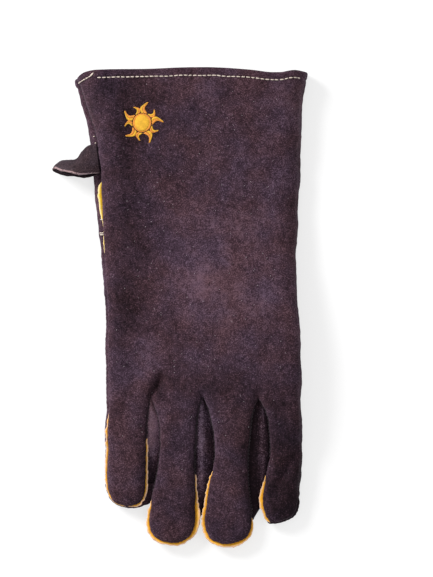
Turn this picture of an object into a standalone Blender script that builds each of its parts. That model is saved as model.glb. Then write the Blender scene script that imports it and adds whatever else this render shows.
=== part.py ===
"""Right-hand leather gauntlet glove, lying on its palm with the thumb tucked under it.

The glove is drawn as one closed skin of quads: a top sheet over the back of the hand, a lower
sheet under the palm, a side strip between the two all round the outline, and the thumb, which
grows from a hole in the lower sheet. The skin is then cut along the seams into leather panels of
real thickness, with a small gap at each seam. Welts and the hanging loop are set on the seams.

Metres. +X points to the index finger's side, +Y from the fingers to the cuff, +Z up through the
back of the hand. The glove is drawn about the middle of the finger roots, and is then moved so
that its origin is the middle of its base on the surface that it lies on.
"""

import math

import bmesh
import bpy
import numpy as np

# Lengths and widths of the hand
HAND_LENGTH = 0.241
HAND_WIDTH = 0.143
CUFF_FLARE = 0.0265
LITTLE_LENGTH = 0.0805
RING_LENGTH = 0.107
MIDDLE_LENGTH = 0.1082
INDEX_LENGTH = 0.0915
TIP_LENGTH = 0.0178

# Heights above the surface that the glove lies on
CUFF_OPENING = 0.030
HAND_HEIGHT = 0.018
FINGER_HEIGHT = 0.0185
THUMB_HEIGHT = 0.0135
THUMB_CLEARANCE = 0.0028

# Thumb
THUMB_LENGTH = 0.060
THUMB_WIDTH = 0.039

# Leather
WALL = 0.0020
HEM_WALL = 0.0030
HEM_WIDTH = 0.0060
SEAM_GAP = 0.0003
WELT_THICKNESS = 0.0013
WELT_REACH = 0.0030
SIDE_WELT_REACH = 0.0026

# Side walls of the hand and fingers. SIDE_BULGE is how far the wall stands out beyond its seams, as
# a share of its height.
SIDE_HEIGHT = 0.0085
SIDE_BULGE = 0.17
EDGE_RADIUS = 0.016
FINGER_RADIUS = 0.0090
FINGER_ROLL = 0.0020
FINGER_CLEARANCE = 0.0018
HEM_WAVE = 0.0103

# Hanging loop
LOOP_REACH = 0.0330
LOOP_WIDTH = 0.0225
LOOP_THICKNESS = 0.0016

# Shape of a rounded shoulder: 2 is an ellipse, more is squarer
TOP_FULLNESS = 2.0
UNDER_FULLNESS = 2.2
LITTLE_SIDE_LIFT = 0.35
CROWN = 0.10

# Roundness of a fingertip in plan: 0.5 is half a circle, less is squarer
TIP_ROUNDNESS = 0.43

# How finely the skin is divided
FINGER_COLUMNS = 6
SIDE_ROWS = 2
TIP_ROWS = 4
HAND_ROWS = (0.0, 0.05, 0.11, 0.18, 0.26, 0.35, 0.44, 0.51, 0.565, 0.62, 0.675, 0.73, 0.775, 0.835, 0.895, 0.945, 0.98, 1.0)
FINGER_ROWS = (0.0, 0.05, 0.12, 0.22, 0.34, 0.47, 0.60, 0.73, 0.87, 1.0)

# The thumb hole, in rows and columns of the lower sheet
HOLE_FIRST_ROW = 0.565
HOLE_LAST_ROW = 0.775
HOLE_FIRST_COLUMN = 14
HOLE_LAST_COLUMN = 21
WRAP_COLUMNS = 2


def table(columns, *rows):
    """A short table: the names of its columns, then a row for each section."""
    return dict(zip(columns.split(), (np.array(c, float) for c in zip(*rows))))


# The hand's outline. down is a share of HAND_LENGTH from the cuff, the rest are shares of CUFF_FLARE
# beyond half of HAND_WIDTH: back is the back panel's edge on the little finger's side, left the
# glove's side there, and right its side at the index finger.
HAND_SIDES = table(
    "down   back   left   right",
    (0.000, 0.840, 0.860, 0.170),
    (0.090, 0.617, 0.690, 0.075),
    (0.222, 0.283, 0.420, -0.010),
    (0.396, 0.158, 0.290, -0.064),
    (0.518, 0.117, 0.214, -0.105),
    (0.640, 0.033, 0.061, -0.147),
    (0.762, -0.010, 0.000, -0.064),
    (0.884, -0.020, -0.010, -0.006),
    (1.000, -0.020, -0.010, 0.005),
)

# The wavy cuff edge: how far it drops below a straight edge, as a share of HEM_WAVE, on the back
# and on the palm side. across is a share of the width.
CUFF_EDGE = table(
    "across back   palm",
    (0.000, 1.00, 1.00),
    (0.017, 0.55, 0.80),
    (0.062, 0.10, 0.45),
    (0.120, -0.02, 0.25),
    (0.300, -0.08, 0.10),
    (0.500, -0.20, 0.05),
    (0.620, -0.16, 0.05),
    (0.750, 0.00, 0.10),
    (0.880, 0.20, 0.12),
    (0.950, 0.02, 0.10),
    (1.000, 0.16, 0.16),
)

# Heights along the hand. cuff is how much of the section is the open cuff rather than the hand,
# lift how far the palm stands over the thumb, side the height of the side seam within the
# section, and strip the height of the side wall as a share of SIDE_HEIGHT.
HAND_PROFILE = table(
    "down  cuff  lift  side  strip",
    (0.00, 1.00, 0.00, 0.36, 0.50),
    (0.20, 0.72, 0.00, 0.36, 0.70),
    (0.40, 0.45, 0.03, 0.38, 0.75),
    (0.52, 0.30, 0.25, 0.42, 0.70),
    (0.62, 0.12, 0.65, 0.45, 0.65),
    (0.77, 0.00, 1.00, 0.48, 0.60),
    (0.90, 0.00, 0.97, 0.50, 0.60),
    (1.00, 0.00, 0.84, 0.50, 0.60),
)

# Heights along a finger, from its root to where its tip begins
FINGER_PROFILE = table(
    "down  lift  height side  strip",
    (0.00, 0.84, 0.97, 0.50, 0.60),
    (0.15, 0.64, 1.00, 0.50, 0.90),
    (0.40, 0.28, 1.03, 0.50, 1.00),
    (0.65, 0.02, 1.00, 0.48, 0.90),
    (0.85, -0.05, 0.95, 0.47, 0.60),
    (1.00, -0.06, 0.88, 0.47, 0.50),
)

# Each finger's back, seen from above: its two edges as shares of HAND_WIDTH from the middle
LITTLE_SIDES = table(
    "down  left    right",
    (0.00, -0.496, -0.275),
    (0.15, -0.496, -0.288),
    (0.42, -0.499, -0.296),
    (0.72, -0.501, -0.298),
    (1.00, -0.500, -0.301),
)
RING_SIDES = table(
    "down  left    right",
    (0.00, -0.275, -0.008),
    (0.07, -0.256, -0.021),
    (0.15, -0.239, -0.032),
    (0.27, -0.229, -0.040),
    (0.44, -0.231, -0.044),
    (0.60, -0.243, -0.046),
    (0.78, -0.264, -0.044),
    (1.00, -0.289, -0.045),
)
MIDDLE_SIDES = table(
    "down  left    right",
    (0.00, -0.008, 0.278),
    (0.07, 0.012, 0.261),
    (0.15, 0.029, 0.247),
    (0.27, 0.044, 0.238),
    (0.43, 0.049, 0.229),
    (0.58, 0.042, 0.225),
    (0.75, 0.018, 0.230),
    (1.00, -0.004, 0.246),
)
INDEX_SIDES = table(
    "down  left    right",
    (0.00, 0.278, 0.490),
    (0.06, 0.296, 0.491),
    (0.15, 0.317, 0.492),
    (0.33, 0.334, 0.493),
    (0.57, 0.336, 0.493),
    (0.74, 0.320, 0.491),
    (1.00, 0.301, 0.486),
)

# How far a finger's side wall spreads towards the next finger, along the finger
SIDE_SPREAD = table(
    "down  fill",
    (0.00, 1.00),
    (0.55, 1.00),
    (0.80, 0.50),
    (1.00, 0.00),
)

# Dents and folds pressed into the back: two ends, each across and down the hand from the cuff to
# the finger roots (down passes 1 on the fingers), and the width and depth in metres.
FOLDS = table(
    "across1 down1 across2 down2 width  depth",
    (0.13, 0.08, 0.16, 0.42, 0.012, 0.0022),
    (0.09, 0.45, 0.22, 0.52, 0.013, 0.0016),
    (0.245, 0.985, 0.275, 0.945, 0.005, 0.0030),
    (0.86, 1.29, 1.02, 1.12, 0.005, 0.0022),
    (0.55, 0.62, 0.80, 0.55, 0.016, 0.0010),
    (0.30, 0.62, 0.42, 0.74, 0.016, -0.0010),
)

# Where the welt of each finger, from little to index, starts and ends. It goes round the fingertip
# from the side of the little finger, and both are shares of the finger's length. wide is a share
# of WELT_REACH.
WELT_NAMES = ("welt_little", "welt_ring", "welt_middle", "welt_index")
WELTS = table(
    "first second wide",
    (0.14, 0.36, 0.70),
    (0.68, 0.50, 1.00),
    (0.46, 0.80, 0.80),
    (0.50, 1.00, 0.75),
)

# The thumb's rings. top and rear are the ends of a ring towards the palm and towards the floor,
# as shares of THUMB_LENGTH ahead of the hole; rise is the ring's upper end above the floor and
# wide its width, as shares of THUMB_HEIGHT and THUMB_WIDTH; in moves it towards the palm's middle.
THUMB_RINGS = table(
    "top    rear    rise  foot  wide  inward",
    (0.010, -0.800, 1.10, 0.28, 1.12, 0.00),
    (0.040, -0.470, 1.02, 0.00, 1.08, 0.01),
    (0.110, -0.130, 1.00, 0.00, 1.04, 0.03),
    (0.240, 0.160, 1.00, 0.00, 1.00, 0.06),
    (0.420, 0.400, 1.00, 0.00, 0.98, 0.10),
    (0.600, 0.600, 0.97, 0.00, 0.95, 0.14),
    (0.740, 0.740, 0.92, 0.00, 0.88, 0.18),
    (0.820, 0.820, 0.86, 0.00, 0.80, 0.20),
)

# The hanging loop as a band between a low and a high edge, from its seam out to its bend and back.
# out is a share of LOOP_REACH, the along columns shares of LOOP_WIDTH down the seam, and the
# height columns shares of LOOP_WIDTH above the floor, or above the seam where sewn is 1.
LOOP_BAND = table(
    "out    low_along high_along low_height high_height sewn",
    (0.000, 0.04, 0.96, 0.150, 0.150, 1.0),
    (0.180, 0.22, 0.88, 0.440, 0.760, 0.0),
    (0.370, 0.44, 0.80, 0.200, 0.890, 0.0),
    (0.590, 0.50, 0.69, 0.080, 0.980, 0.0),
    (0.820, 0.53, 0.63, 0.055, 0.985, 0.0),
    (0.960, 0.62, 0.67, 0.055, 0.985, 0.0),
    (1.000, 0.78, 0.82, 0.055, 0.975, 0.0),
    (0.960, 0.93, 0.94, 0.055, 0.965, 0.0),
    (0.820, 1.01, 1.02, 0.055, 0.950, 0.0),
    (0.590, 1.04, 1.07, 0.070, 0.900, 0.0),
    (0.370, 1.01, 1.10, 0.150, 0.760, 0.0),
    (0.180, 0.72, 1.08, 0.360, 0.600, 0.0),
    (0.000, 0.06, 0.98, 0.045, 0.045, 1.0),
)
# Where the loop begins and where the side welt below it ends, as shares of HAND_LENGTH from the cuff
LOOP_DOWN = 0.225
SIDE_WELT_END = 0.56

COLOURS = {
    "back_panel": (0.060, 0.036, 0.047),
    "palm_panel": (0.057, 0.034, 0.045),
    "fourchette": (0.055, 0.033, 0.044),
    "thumb": (0.057, 0.034, 0.045),
    "hanging_loop": (0.052, 0.033, 0.038),
    "welt": (0.80, 0.36, 0.045),
}
SUEDE_ROUGHNESS = 0.92


def smooth(x):
    """0 below 0, 1 above 1, and an even rise between."""
    x = np.clip(x, 0.0, 1.0)
    return x * x * (3.0 - 2.0 * x)


def read(rows, column, at, key="down"):
    """A table's column at a place, on a smooth curve through its rows."""
    x, y = rows[key], rows[column]
    at = np.clip(np.asarray(at, float), x[0], x[-1])
    slope = np.diff(y) / np.diff(x)
    tangent = np.concatenate([slope[:1], (slope[1:] + slope[:-1]) / 2, slope[-1:]])
    k = np.clip(np.searchsorted(x, at, side="right") - 1, 0, len(x) - 2)
    h = x[k + 1] - x[k]
    s = (at - x[k]) / h
    return (
        y[k] * (1 + 2 * s) * (1 - s) ** 2
        + y[k + 1] * s * s * (3 - 2 * s)
        + h * tangent[k] * s * (1 - s) ** 2
        - h * tangent[k + 1] * s * s * (1 - s)
    )


def shoulder(distance, radius, fullness):
    """0 on an edge and 1 past the radius, with the section of a rounded shoulder between."""
    u = np.clip(distance / radius, 0.0, 1.0)
    return (1.0 - (1.0 - u) ** fullness) ** (1.0 / fullness)


LIFT = THUMB_HEIGHT + THUMB_CLEARANCE
FINGERS = (
    (LITTLE_SIDES, LITTLE_LENGTH, 0.10),
    (RING_SIDES, RING_LENGTH, 0.08),
    (MIDDLE_SIDES, MIDDLE_LENGTH, -0.12),
    (INDEX_SIDES, INDEX_LENGTH, -0.42),
)
FOURCHETTES = ("fourchette_little_ring", "fourchette_ring_middle", "fourchette_middle_index")


def fractions():
    """Places across one finger, closer together at its edges, from 0 to 1."""
    angle = np.linspace(-math.pi / 2, math.pi / 2, FINGER_COLUMNS + 1)
    return (1.0 + np.sin(angle)) / 2.0


def side_lift(across):
    """The palm stands lower on the little finger's side, away from the thumb."""
    return LITTLE_SIDE_LIFT + (1.0 - LITTLE_SIDE_LIFT) * smooth((across - 0.18) / 0.40)


def folds(x, y):
    """Depth of all dents and folds at a place on the back."""
    depth = np.zeros_like(x)
    left = -HAND_WIDTH / 2
    for k in range(len(FOLDS["depth"])):
        a = np.array([left + FOLDS["across1"][k] * HAND_WIDTH, HAND_LENGTH * (1 - FOLDS["down1"][k])])
        b = np.array([left + FOLDS["across2"][k] * HAND_WIDTH, HAND_LENGTH * (1 - FOLDS["down2"][k])])
        run = b - a
        share = np.clip(((x - a[0]) * run[0] + (y - a[1]) * run[1]) / (run @ run), 0.0, 1.0)
        away = np.hypot(x - a[0] - share * run[0], y - a[1] - share * run[1])
        depth += FOLDS["depth"][k] * np.exp(-((away / FOLDS["width"][k]) ** 2))
    return depth


def hand_heights(down, across):
    """Heights of the top and of the underside at a place on the hand, away from its edges."""
    under = LIFT * read(HAND_PROFILE, "lift", down) * side_lift(across)
    cuff = read(HAND_PROFILE, "cuff", down)
    thick = CUFF_OPENING * cuff + HAND_HEIGHT * (1.0 - cuff)
    return under + thick * (1.0 - CROWN * (2.0 * across - 1.0) ** 2), under


def hand_seam(down, across):
    """Heights of the upper and lower edges of the side wall, on either side of the hand."""
    top, under = hand_heights(down, across)
    middle = under + (top - under) * read(HAND_PROFILE, "side", down)
    half = SIDE_HEIGHT * read(HAND_PROFILE, "strip", down) / 2
    return middle + half, middle - half


def crotches():
    """Plan place and the two seam heights of each crotch between fingers."""
    found = []
    for sides, _, _ in FINGERS[:3]:
        x = sides["right"][0] * HAND_WIDTH
        across = x / HAND_WIDTH + 0.5
        upper, lower = hand_seam(1.0, across)
        found.append((x, upper, lower))
    return found


def hand_rows():
    """Shares down the hand of its rows, with one at the hem's stitching."""
    hem = HEM_WIDTH / HAND_LENGTH
    return np.array(sorted(set(HAND_ROWS) | {hem}))


def hand_sheet(upper):
    """The hand's top sheet, or its lower one, as rows of points from the cuff to the finger roots."""
    down = hand_rows()[:, None]
    half = HAND_WIDTH / 2
    left = -half - CUFF_FLARE * read(HAND_SIDES, "back" if upper else "left", down)
    right = half + CUFF_FLARE * read(HAND_SIDES, "right", down) - SIDE_BULGE * SIDE_HEIGHT
    roots = [(s["right"][0] * HAND_WIDTH - left[-1]) / (right[-1] - left[-1]) for s, _, _ in FINGERS[:3]]
    ends = [0.0, *[float(r[0]) for r in roots], 1.0]
    even = np.linspace(0.0, 1.0, 5)
    bounds = even + (np.array(ends) - even) * smooth(down)
    step = fractions()
    across = [bounds[:, i : i + 1] + (bounds[:, i + 1 : i + 2] - bounds[:, i : i + 1]) * step[:-1] for i in range(4)]
    across = np.hstack([*across, bounds[:, 4:5]])
    x = left + (right - left) * across
    drop = HEM_WAVE * read(CUFF_EDGE, "back" if upper else "palm", across, "across")
    y = HAND_LENGTH * (1.0 - down) - drop * np.clip(1.0 - down / 0.25, 0.0, 1.0) ** 2
    top, under = hand_heights(down, across)
    flat = top - folds(x, y) if upper else under
    side = 0 if upper else 1
    fullness = TOP_FULLNESS if upper else UNDER_FULLNESS
    radius = EDGE_RADIUS + (FINGER_RADIUS - EDGE_RADIUS) * smooth((down - 0.5) / 0.5)
    z = flat.copy()
    for edge, away in ((0.0, x - left), (1.0, right - x)):
        seam = hand_seam(down, edge)[side]
        z -= (flat - seam) * (1.0 - shoulder(away, radius, fullness))
    for place in crotches():
        away = np.hypot(x - place[0], 0.62 * y)
        z -= (flat - place[1 + side]) * (1.0 - shoulder(away, FINGER_RADIUS, fullness))
    return np.stack([x, y, z if upper else np.maximum(z, 0.0)], axis=-1)


def finger_edges(number, down, upper):
    """The two edges of a finger's top or lower sheet at shares down its straight part."""
    sides, length, _ = FINGERS[number]
    left = read(sides, "left", down) * HAND_WIDTH
    right = read(sides, "right", down) * HAND_WIDTH
    if upper:
        return left, right
    ramp = smooth(down / 0.14)
    if number < 3:
        beside, other, _ = FINGERS[number + 1]
        at = down * (length - TIP_LENGTH) / (other - TIP_LENGTH)
        gap = read(beside, "left", at) * HAND_WIDTH + FINGER_ROLL * ramp - FINGER_CLEARANCE
        right = right + (gap - right) * read(SIDE_SPREAD, "fill", down) * ramp
    if number > 0:
        left = left + FINGER_ROLL * ramp * (1.0 - smooth((down - 0.6) / 0.4))
    return left, right


def finger_sheet(number, upper, root):
    """A finger's top or lower sheet, from its root row to its rounded tip."""
    _, length, lean = FINGERS[number]
    straight = np.array(FINGER_ROWS[1:])
    turn = np.sin(np.linspace(0.0, math.pi / 2, TIP_ROWS + 1))[1:]
    down = np.concatenate([straight, np.ones(TIP_ROWS)])[:, None]
    tip = np.concatenate([np.zeros(len(straight)), turn])[:, None]
    u = 2.0 * fractions() - 1.0
    left, right = finger_edges(number, down, upper)
    half = (right - left) / 2
    wide = u * np.sqrt(1.0 - TIP_ROUNDNESS * tip**2)
    ahead = tip * np.sqrt(1.0 - TIP_ROUNDNESS * u**2)
    x = left + half + half * (wide + lean * ahead**2 * np.abs(1.0 - np.abs(wide)))
    y = -(length - TIP_LENGTH) * down - TIP_LENGTH * ahead
    sides = FINGERS[number][0]
    middle = (sides["left"][0] + sides["right"][0]) / 2
    across = 0.5 + middle + (x / HAND_WIDTH - middle) * (1.0 - smooth(down / 0.6))
    under = LIFT * read(FINGER_PROFILE, "lift", down) * side_lift(across)
    thick = FINGER_HEIGHT * read(FINGER_PROFILE, "height", down)
    middle = under + thick * read(FINGER_PROFILE, "side", down)
    half_strip = SIDE_HEIGHT * read(FINGER_PROFILE, "strip", down) / 2
    fullness = TOP_FULLNESS if upper else UNDER_FULLNESS
    from_edge = half * (1.0 - np.sqrt(1.0 - (1.0 - u**2) * (1.0 - tip**2)))
    rise = shoulder(from_edge, FINGER_RADIUS, fullness)
    if upper:
        edge = middle + half_strip
        z = edge + (under + thick - folds(x, y) - edge) * rise
    else:
        edge = middle - half_strip
        z = np.maximum(edge + (under - edge) * rise, 0.0)
    rows = np.stack([x, y + np.zeros_like(x), z], axis=-1)
    return np.concatenate([root[None], rows])


class Skin:
    """The glove's outer surface: welded points, and quads that each carry the name of their panel."""

    def __init__(self):
        self.points, self.faces, self.names, self.index = [], [], [], {}

    def point(self, p):
        key = tuple(int(round(c * 1e7)) for c in p)
        if key not in self.index:
            self.index[key] = len(self.points)
            self.points.append(np.array(p, float))
        return self.index[key]

    def grid(self, points, name_of, turned=False):
        """Adds the quads of a grid of points. name_of(row, column) is a quad's panel, or None for a hole."""
        ids = [[self.point(p) for p in row] for row in points]
        for r in range(len(ids) - 1):
            for c in range(len(ids[0]) - 1):
                name = name_of(r, c)
                if name is None:
                    continue
                quad = [ids[r][c], ids[r + 1][c], ids[r + 1][c + 1], ids[r][c + 1]]
                self.faces.append(quad[::-1] if turned else quad)
                self.names.append(name)

    def finish(self):
        """Outward normals at the points, from all the faces around each."""
        self.points = np.array(self.points)
        self.normals = np.zeros_like(self.points)
        for face in self.faces:
            a, b, c, d = self.points[face]
            self.normals[face] += np.cross(c - a, d - b)
        length = np.linalg.norm(self.normals, axis=1)
        self.normals /= np.where(length > 0.0, length, 1.0)[:, None]


def outline(sheets, fingers):
    """The edge of the top or lower sheet, from the cuff's left end round the fingers to its right end."""
    points = list(sheets[:, 0])
    marks = [("left", 0)] * len(points)
    for number, finger in enumerate(fingers):
        last = len(finger) - 1
        tip = len(FINGER_ROWS) - 1
        walk = [(r, 0) for r in range(1, last + 1)]
        walk += [(last, c) for c in range(1, FINGER_COLUMNS)]
        walk += [(r, FINGER_COLUMNS) for r in range(last, -1, -1)]
        for r, c in walk:
            side = "tip" if r > tip else "first" if c == 0 else "second"
            points.append(finger[r, c])
            marks.append((side, number))
    points += list(sheets[::-1, -1][1:])
    marks += [("right", 3)] * (len(points) - len(marks))
    return np.array(points), marks


def side_strip(upper, lower, marks):
    """Rows of points between the top sheet's edge and the lower sheet's, bulging on the glove's outside."""
    path = (upper + lower) / 2
    run = np.gradient(path[:, :2], axis=0)
    out = np.stack([run[:, 1], -run[:, 0]], axis=1) / np.linalg.norm(run, axis=1)[:, None]
    between = {("second", 0), ("first", 1), ("second", 1), ("first", 2), ("second", 2), ("first", 3)}
    outside = np.array([0.0 if mark in between else 1.0 for mark in marks])
    outside = np.convolve(np.pad(outside, 2, mode="edge"), np.ones(5) / 5, mode="valid")
    bulge = SIDE_BULGE * (upper - lower)[:, 2] * outside
    rows = []
    for s in np.linspace(0.0, 1.0, SIDE_ROWS + 1):
        row = upper + (lower - upper) * s
        row[:, :2] += out * (bulge * 4 * s * (1 - s))[:, None]
        rows.append(row)
    return np.stack(rows, axis=1)


def strip_panel(marks, k):
    """Which panel holds the side wall after the outline's point k."""
    (side, number), (following, _) = marks[k], marks[k + 1]
    if "tip" in (side, following) or side == "left":
        return "palm_panel"
    if side == "right" or (side == "second" and number == 3):
        return "back_panel"
    if side == "first" and number == 0:
        return "palm_panel"
    gap = number - 1 if side == "first" else number
    return FOURCHETTES[gap]


def round_the_hole(rows, columns):
    """Share across and share down of each point of the hole's edge, in order round it."""
    walk = [(0, c) for c in range(columns)] + [(r, columns) for r in range(rows)]
    walk += [(rows, c) for c in range(columns, 0, -1)] + [(r, 0) for r in range(rows, 0, -1)]
    return [(r / rows, c / columns) for r, c in walk]


def on_section(down, across):
    """A place in a square as a place in the thumb's rounded section: towards the index, then the floor."""
    a, b = 2 * across - 1, 1 - 2 * down
    wide = a * math.sqrt(1 - TIP_ROUNDNESS * b * b)
    return wide, b * math.sqrt(1 - TIP_ROUNDNESS * a * a), math.sqrt((1 - a * a) * (1 - b * b))


def add_thumb(skin, sheet, first, last):
    """The thumb's rings, from the hole in the palm down and forward to its rounded tip."""
    rows, columns = last - first, HOLE_LAST_COLUMN - HOLE_FIRST_COLUMN
    places = round_the_hole(rows, columns)
    edge = [
        sheet[first + round(d * rows), HOLE_FIRST_COLUMN + round(a * columns)] for d, a in places
    ]
    front = sheet[last, HOLE_FIRST_COLUMN : HOLE_LAST_COLUMN + 1]
    start_y, middle_x = front[:, 1].mean(), front[:, 0].mean()

    def ring(k):
        wide = THUMB_RINGS["wide"][k] * THUMB_WIDTH / 2
        x = middle_x - THUMB_RINGS["inward"][k] * THUMB_WIDTH
        upper = np.array([x, start_y - THUMB_RINGS["top"][k] * THUMB_LENGTH, THUMB_RINGS["rise"][k] * THUMB_HEIGHT])
        lower = np.array([x, start_y - THUMB_RINGS["rear"][k] * THUMB_LENGTH, THUMB_RINGS["foot"][k] * THUMB_HEIGHT])
        return (upper + lower) / 2, np.array([wide, 0.0, 0.0]), (lower - upper) / 2

    rings = [edge]
    for k in range(len(THUMB_RINGS["top"])):
        middle, wide, tall = ring(k)
        made = []
        for place in places:
            a, b, _ = on_section(*place)
            made.append(middle + wide * a + tall * b)
        rings.append(made)
    for made in rings[1:]:
        for p in made:
            p[2] = max(p[2], 0.0)
    closed = np.array([list(r) + [r[0]] for r in rings])
    skin.grid(closed, lambda r, c: "thumb", turned=True)
    middle, wide, tall = ring(len(THUMB_RINGS["top"]) - 1)
    depth = (1.0 - THUMB_RINGS["top"][-1]) * THUMB_LENGTH
    cap = np.zeros((rows + 1, columns + 1, 3))
    for r in range(rows + 1):
        for c in range(columns + 1):
            if r in (0, rows) or c in (0, columns):
                cap[r, c] = rings[-1][places.index((r / rows, c / columns))]
                continue
            a, b, ahead = on_section(r / rows, c / columns)
            cap[r, c] = middle + wide * a + tall * b - np.array([0.0, ahead * depth, 0.0])
            cap[r, c, 2] = max(cap[r, c, 2], 0.0)
    skin.grid(cap, lambda r, c: "thumb", turned=True)


def build_skin():
    """The whole outer surface, and the outline's upper and lower edges."""
    top, under = hand_sheet(True), hand_sheet(False)
    step = FINGER_COLUMNS
    tops = [finger_sheet(i, True, top[-1, i * step : (i + 1) * step + 1]) for i in range(4)]
    unders = [finger_sheet(i, False, under[-1, i * step : (i + 1) * step + 1]) for i in range(4)]
    wrap = 4 * step - WRAP_COLUMNS
    down = hand_rows()
    first, last = (int(np.argmin(abs(down - d))) for d in (HOLE_FIRST_ROW, HOLE_LAST_ROW))

    def under_panel(r, c):
        if first <= r < last and HOLE_FIRST_COLUMN <= c < HOLE_LAST_COLUMN:
            return None
        return "back_panel" if c >= wrap else "palm_panel"

    def index_panel(r, c):
        straight = r < len(FINGER_ROWS) - 1
        return "back_panel" if straight and c >= step - WRAP_COLUMNS else "palm_panel"

    skin = Skin()
    skin.grid(top, lambda r, c: "back_panel")
    skin.grid(under, under_panel, turned=True)
    for number in range(4):
        skin.grid(tops[number], lambda r, c: "back_panel")
        skin.grid(unders[number], index_panel if number == 3 else lambda r, c: "palm_panel", turned=True)
    upper, marks = outline(top, tops)
    lower, _ = outline(under, unders)
    strip = side_strip(upper, lower, marks)
    skin.grid(strip, lambda r, c: strip_panel(marks, r), turned=True)
    add_thumb(skin, under, first, last)
    skin.finish()
    return skin, upper, marks


def new_object(name, points, faces, colour):
    """A closed mesh object with its own plain material."""
    mesh = bpy.data.meshes.new(name)
    mesh.from_pydata([tuple(p) for p in points], [], faces)
    work = bmesh.new()
    work.from_mesh(mesh)
    bmesh.ops.triangulate(work, faces=[f for f in work.faces if len(f.verts) > 3])
    work.to_mesh(mesh)
    work.free()
    mesh.shade_smooth()
    mesh.set_sharp_from_angle(angle=math.radians(50))
    material = bpy.data.materials.new(name)
    material.use_nodes = True
    shader = material.node_tree.nodes["Principled BSDF"]
    shader.inputs["Base Color"].default_value = (*COLOURS[colour], 1.0)
    shader.inputs["Roughness"].default_value = SUEDE_ROUGHNESS
    shader.inputs["Metallic"].default_value = 0.0
    mesh.materials.append(material)
    made = bpy.data.objects.new(name, mesh)
    bpy.context.scene.collection.objects.link(made)
    return made


def wall_at(point):
    """The folded hem along the cuff's edge is thicker than the rest of the leather."""
    edge = HAND_LENGTH - HEM_WIDTH - HEM_WAVE
    return WALL + (HEM_WALL - WALL) * float(smooth((point[1] - edge) / HEM_WIDTH))


def split(points, quad):
    """A quad as two triangles, across its shorter diagonal."""
    a, b, c, d = quad
    if np.linalg.norm(points[a] - points[c]) <= np.linalg.norm(points[b] - points[d]):
        return [[a, b, c], [a, c, d]]
    return [[a, b, d], [b, c, d]]


def cut_panel(skin, name, colour):
    """The leather panel of one name: its skin, an inner skin a wall below it, and a rim round its seams."""
    faces = [f for f, n in zip(skin.faces, skin.names) if n == name]
    used = sorted({v for f in faces for v in f})
    place = {v: k for k, v in enumerate(used)}
    edges = {(f[k], f[(k + 1) % 4]) for f in faces for k in range(4)}
    rim = [(a, b) for a, b in edges if (b, a) not in edges]
    inwards = {v: np.zeros(3) for v in used}
    for face in faces:
        middle = skin.points[face].mean(axis=0)
        for k in range(4):
            a, b = face[k], face[(k + 1) % 4]
            if (b, a) in edges:
                continue
            run = skin.points[b] - skin.points[a]
            run /= max(np.linalg.norm(run), 1e-9)
            side = middle - skin.points[a]
            side -= run * (side @ run)
            side /= np.linalg.norm(side)
            inwards[a] += side
            inwards[b] += side
    outer = []
    inner = []
    for v in used:
        p = skin.points[v].copy()
        if np.any(inwards[v]):
            p += inwards[v] / np.linalg.norm(inwards[v]) * (SEAM_GAP / 2)
        outer.append(p)
        inner.append(p - skin.normals[v] * wall_at(p))
    count = len(used)
    made = []
    for face in faces:
        for triangle in split(skin.points, face):
            made.append([place[v] for v in triangle])
            made.append([place[v] + count for v in reversed(triangle)])
    for a, b in rim:
        p, q = place[a], place[b]
        if a < b:
            made += [[q, p, q + count], [p, p + count, q + count]]
        else:
            made += [[q, p, p + count], [q, p + count, q + count]]
    return new_object(name, outer + inner, made, colour)


def cut_welt(skin, name, path, reach, taper=3):
    """A strip of leather standing out of the seam along a path of skin points."""
    ids = [skin.point(p) for p in path]
    points, out = skin.points[ids], skin.normals[ids]
    run = np.gradient(points, axis=0)
    run /= np.linalg.norm(run, axis=1)[:, None]
    out = out - run * np.sum(out * run, axis=1)[:, None]
    out /= np.linalg.norm(out, axis=1)[:, None]
    across = np.cross(run, out) * WELT_THICKNESS / 2
    count = len(ids)
    ends = np.minimum(np.arange(count), np.arange(count)[::-1]) / taper
    far = SEAM_GAP + WELT_THICKNESS * 0.6 + (reach - WELT_THICKNESS * 0.6) * smooth(ends)
    corners = [
        points + out * SEAM_GAP + across,
        points + out * far[:, None] + across,
        points + out * far[:, None] - across,
        points + out * SEAM_GAP - across,
    ]
    for corner in corners:
        corner[:, 2] = np.maximum(corner[:, 2], SEAM_GAP)
    flat = [p for k in range(count) for p in (c[k] for c in corners)]
    faces = []
    for k in range(count - 1):
        for s in range(4):
            t = (s + 1) % 4
            faces.append([4 * k + t, 4 * k + s, 4 * k + 4 + s, 4 * k + 4 + t])
    faces.append([0, 1, 2, 3])
    faces.append([4 * count - 1 - s for s in range(4)])
    return new_object(name, flat, faces, "welt")


def nearest(points, y, among):
    """The number of the outline point nearest to y along the glove, among some of them."""
    return min(among, key=lambda k: abs(points[k][1] - y))


def add_welts(skin, upper, marks):
    """The yellow welts round the fingertips and in the side seam."""
    for number, name in enumerate(WELT_NAMES):
        length = FINGERS[number][1]
        first, second = WELTS["first"][number] * length, WELTS["second"][number] * length
        own = [k for k, m in enumerate(marks) if m[1] == number and m[0] in ("first", "second", "tip")]
        lowest = min(own, key=lambda k: upper[k][1])
        start = nearest(upper, -first, [k for k in own if k <= lowest])
        end = nearest(upper, -second, [k for k in own if k >= lowest])
        cut_welt(skin, name, upper[start : end + 1], WELT_REACH * WELTS["wide"][number])
    left = [k for k, m in enumerate(marks) if m[0] == "left"]
    start = nearest(upper, HAND_LENGTH * (1 - LOOP_DOWN) - LOOP_WIDTH * 1.25, left)
    end = nearest(upper, HAND_LENGTH * (1 - SIDE_WELT_END), left)
    cut_welt(skin, "welt_side", upper[start : end + 1], SIDE_WELT_REACH, taper=1)


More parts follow.
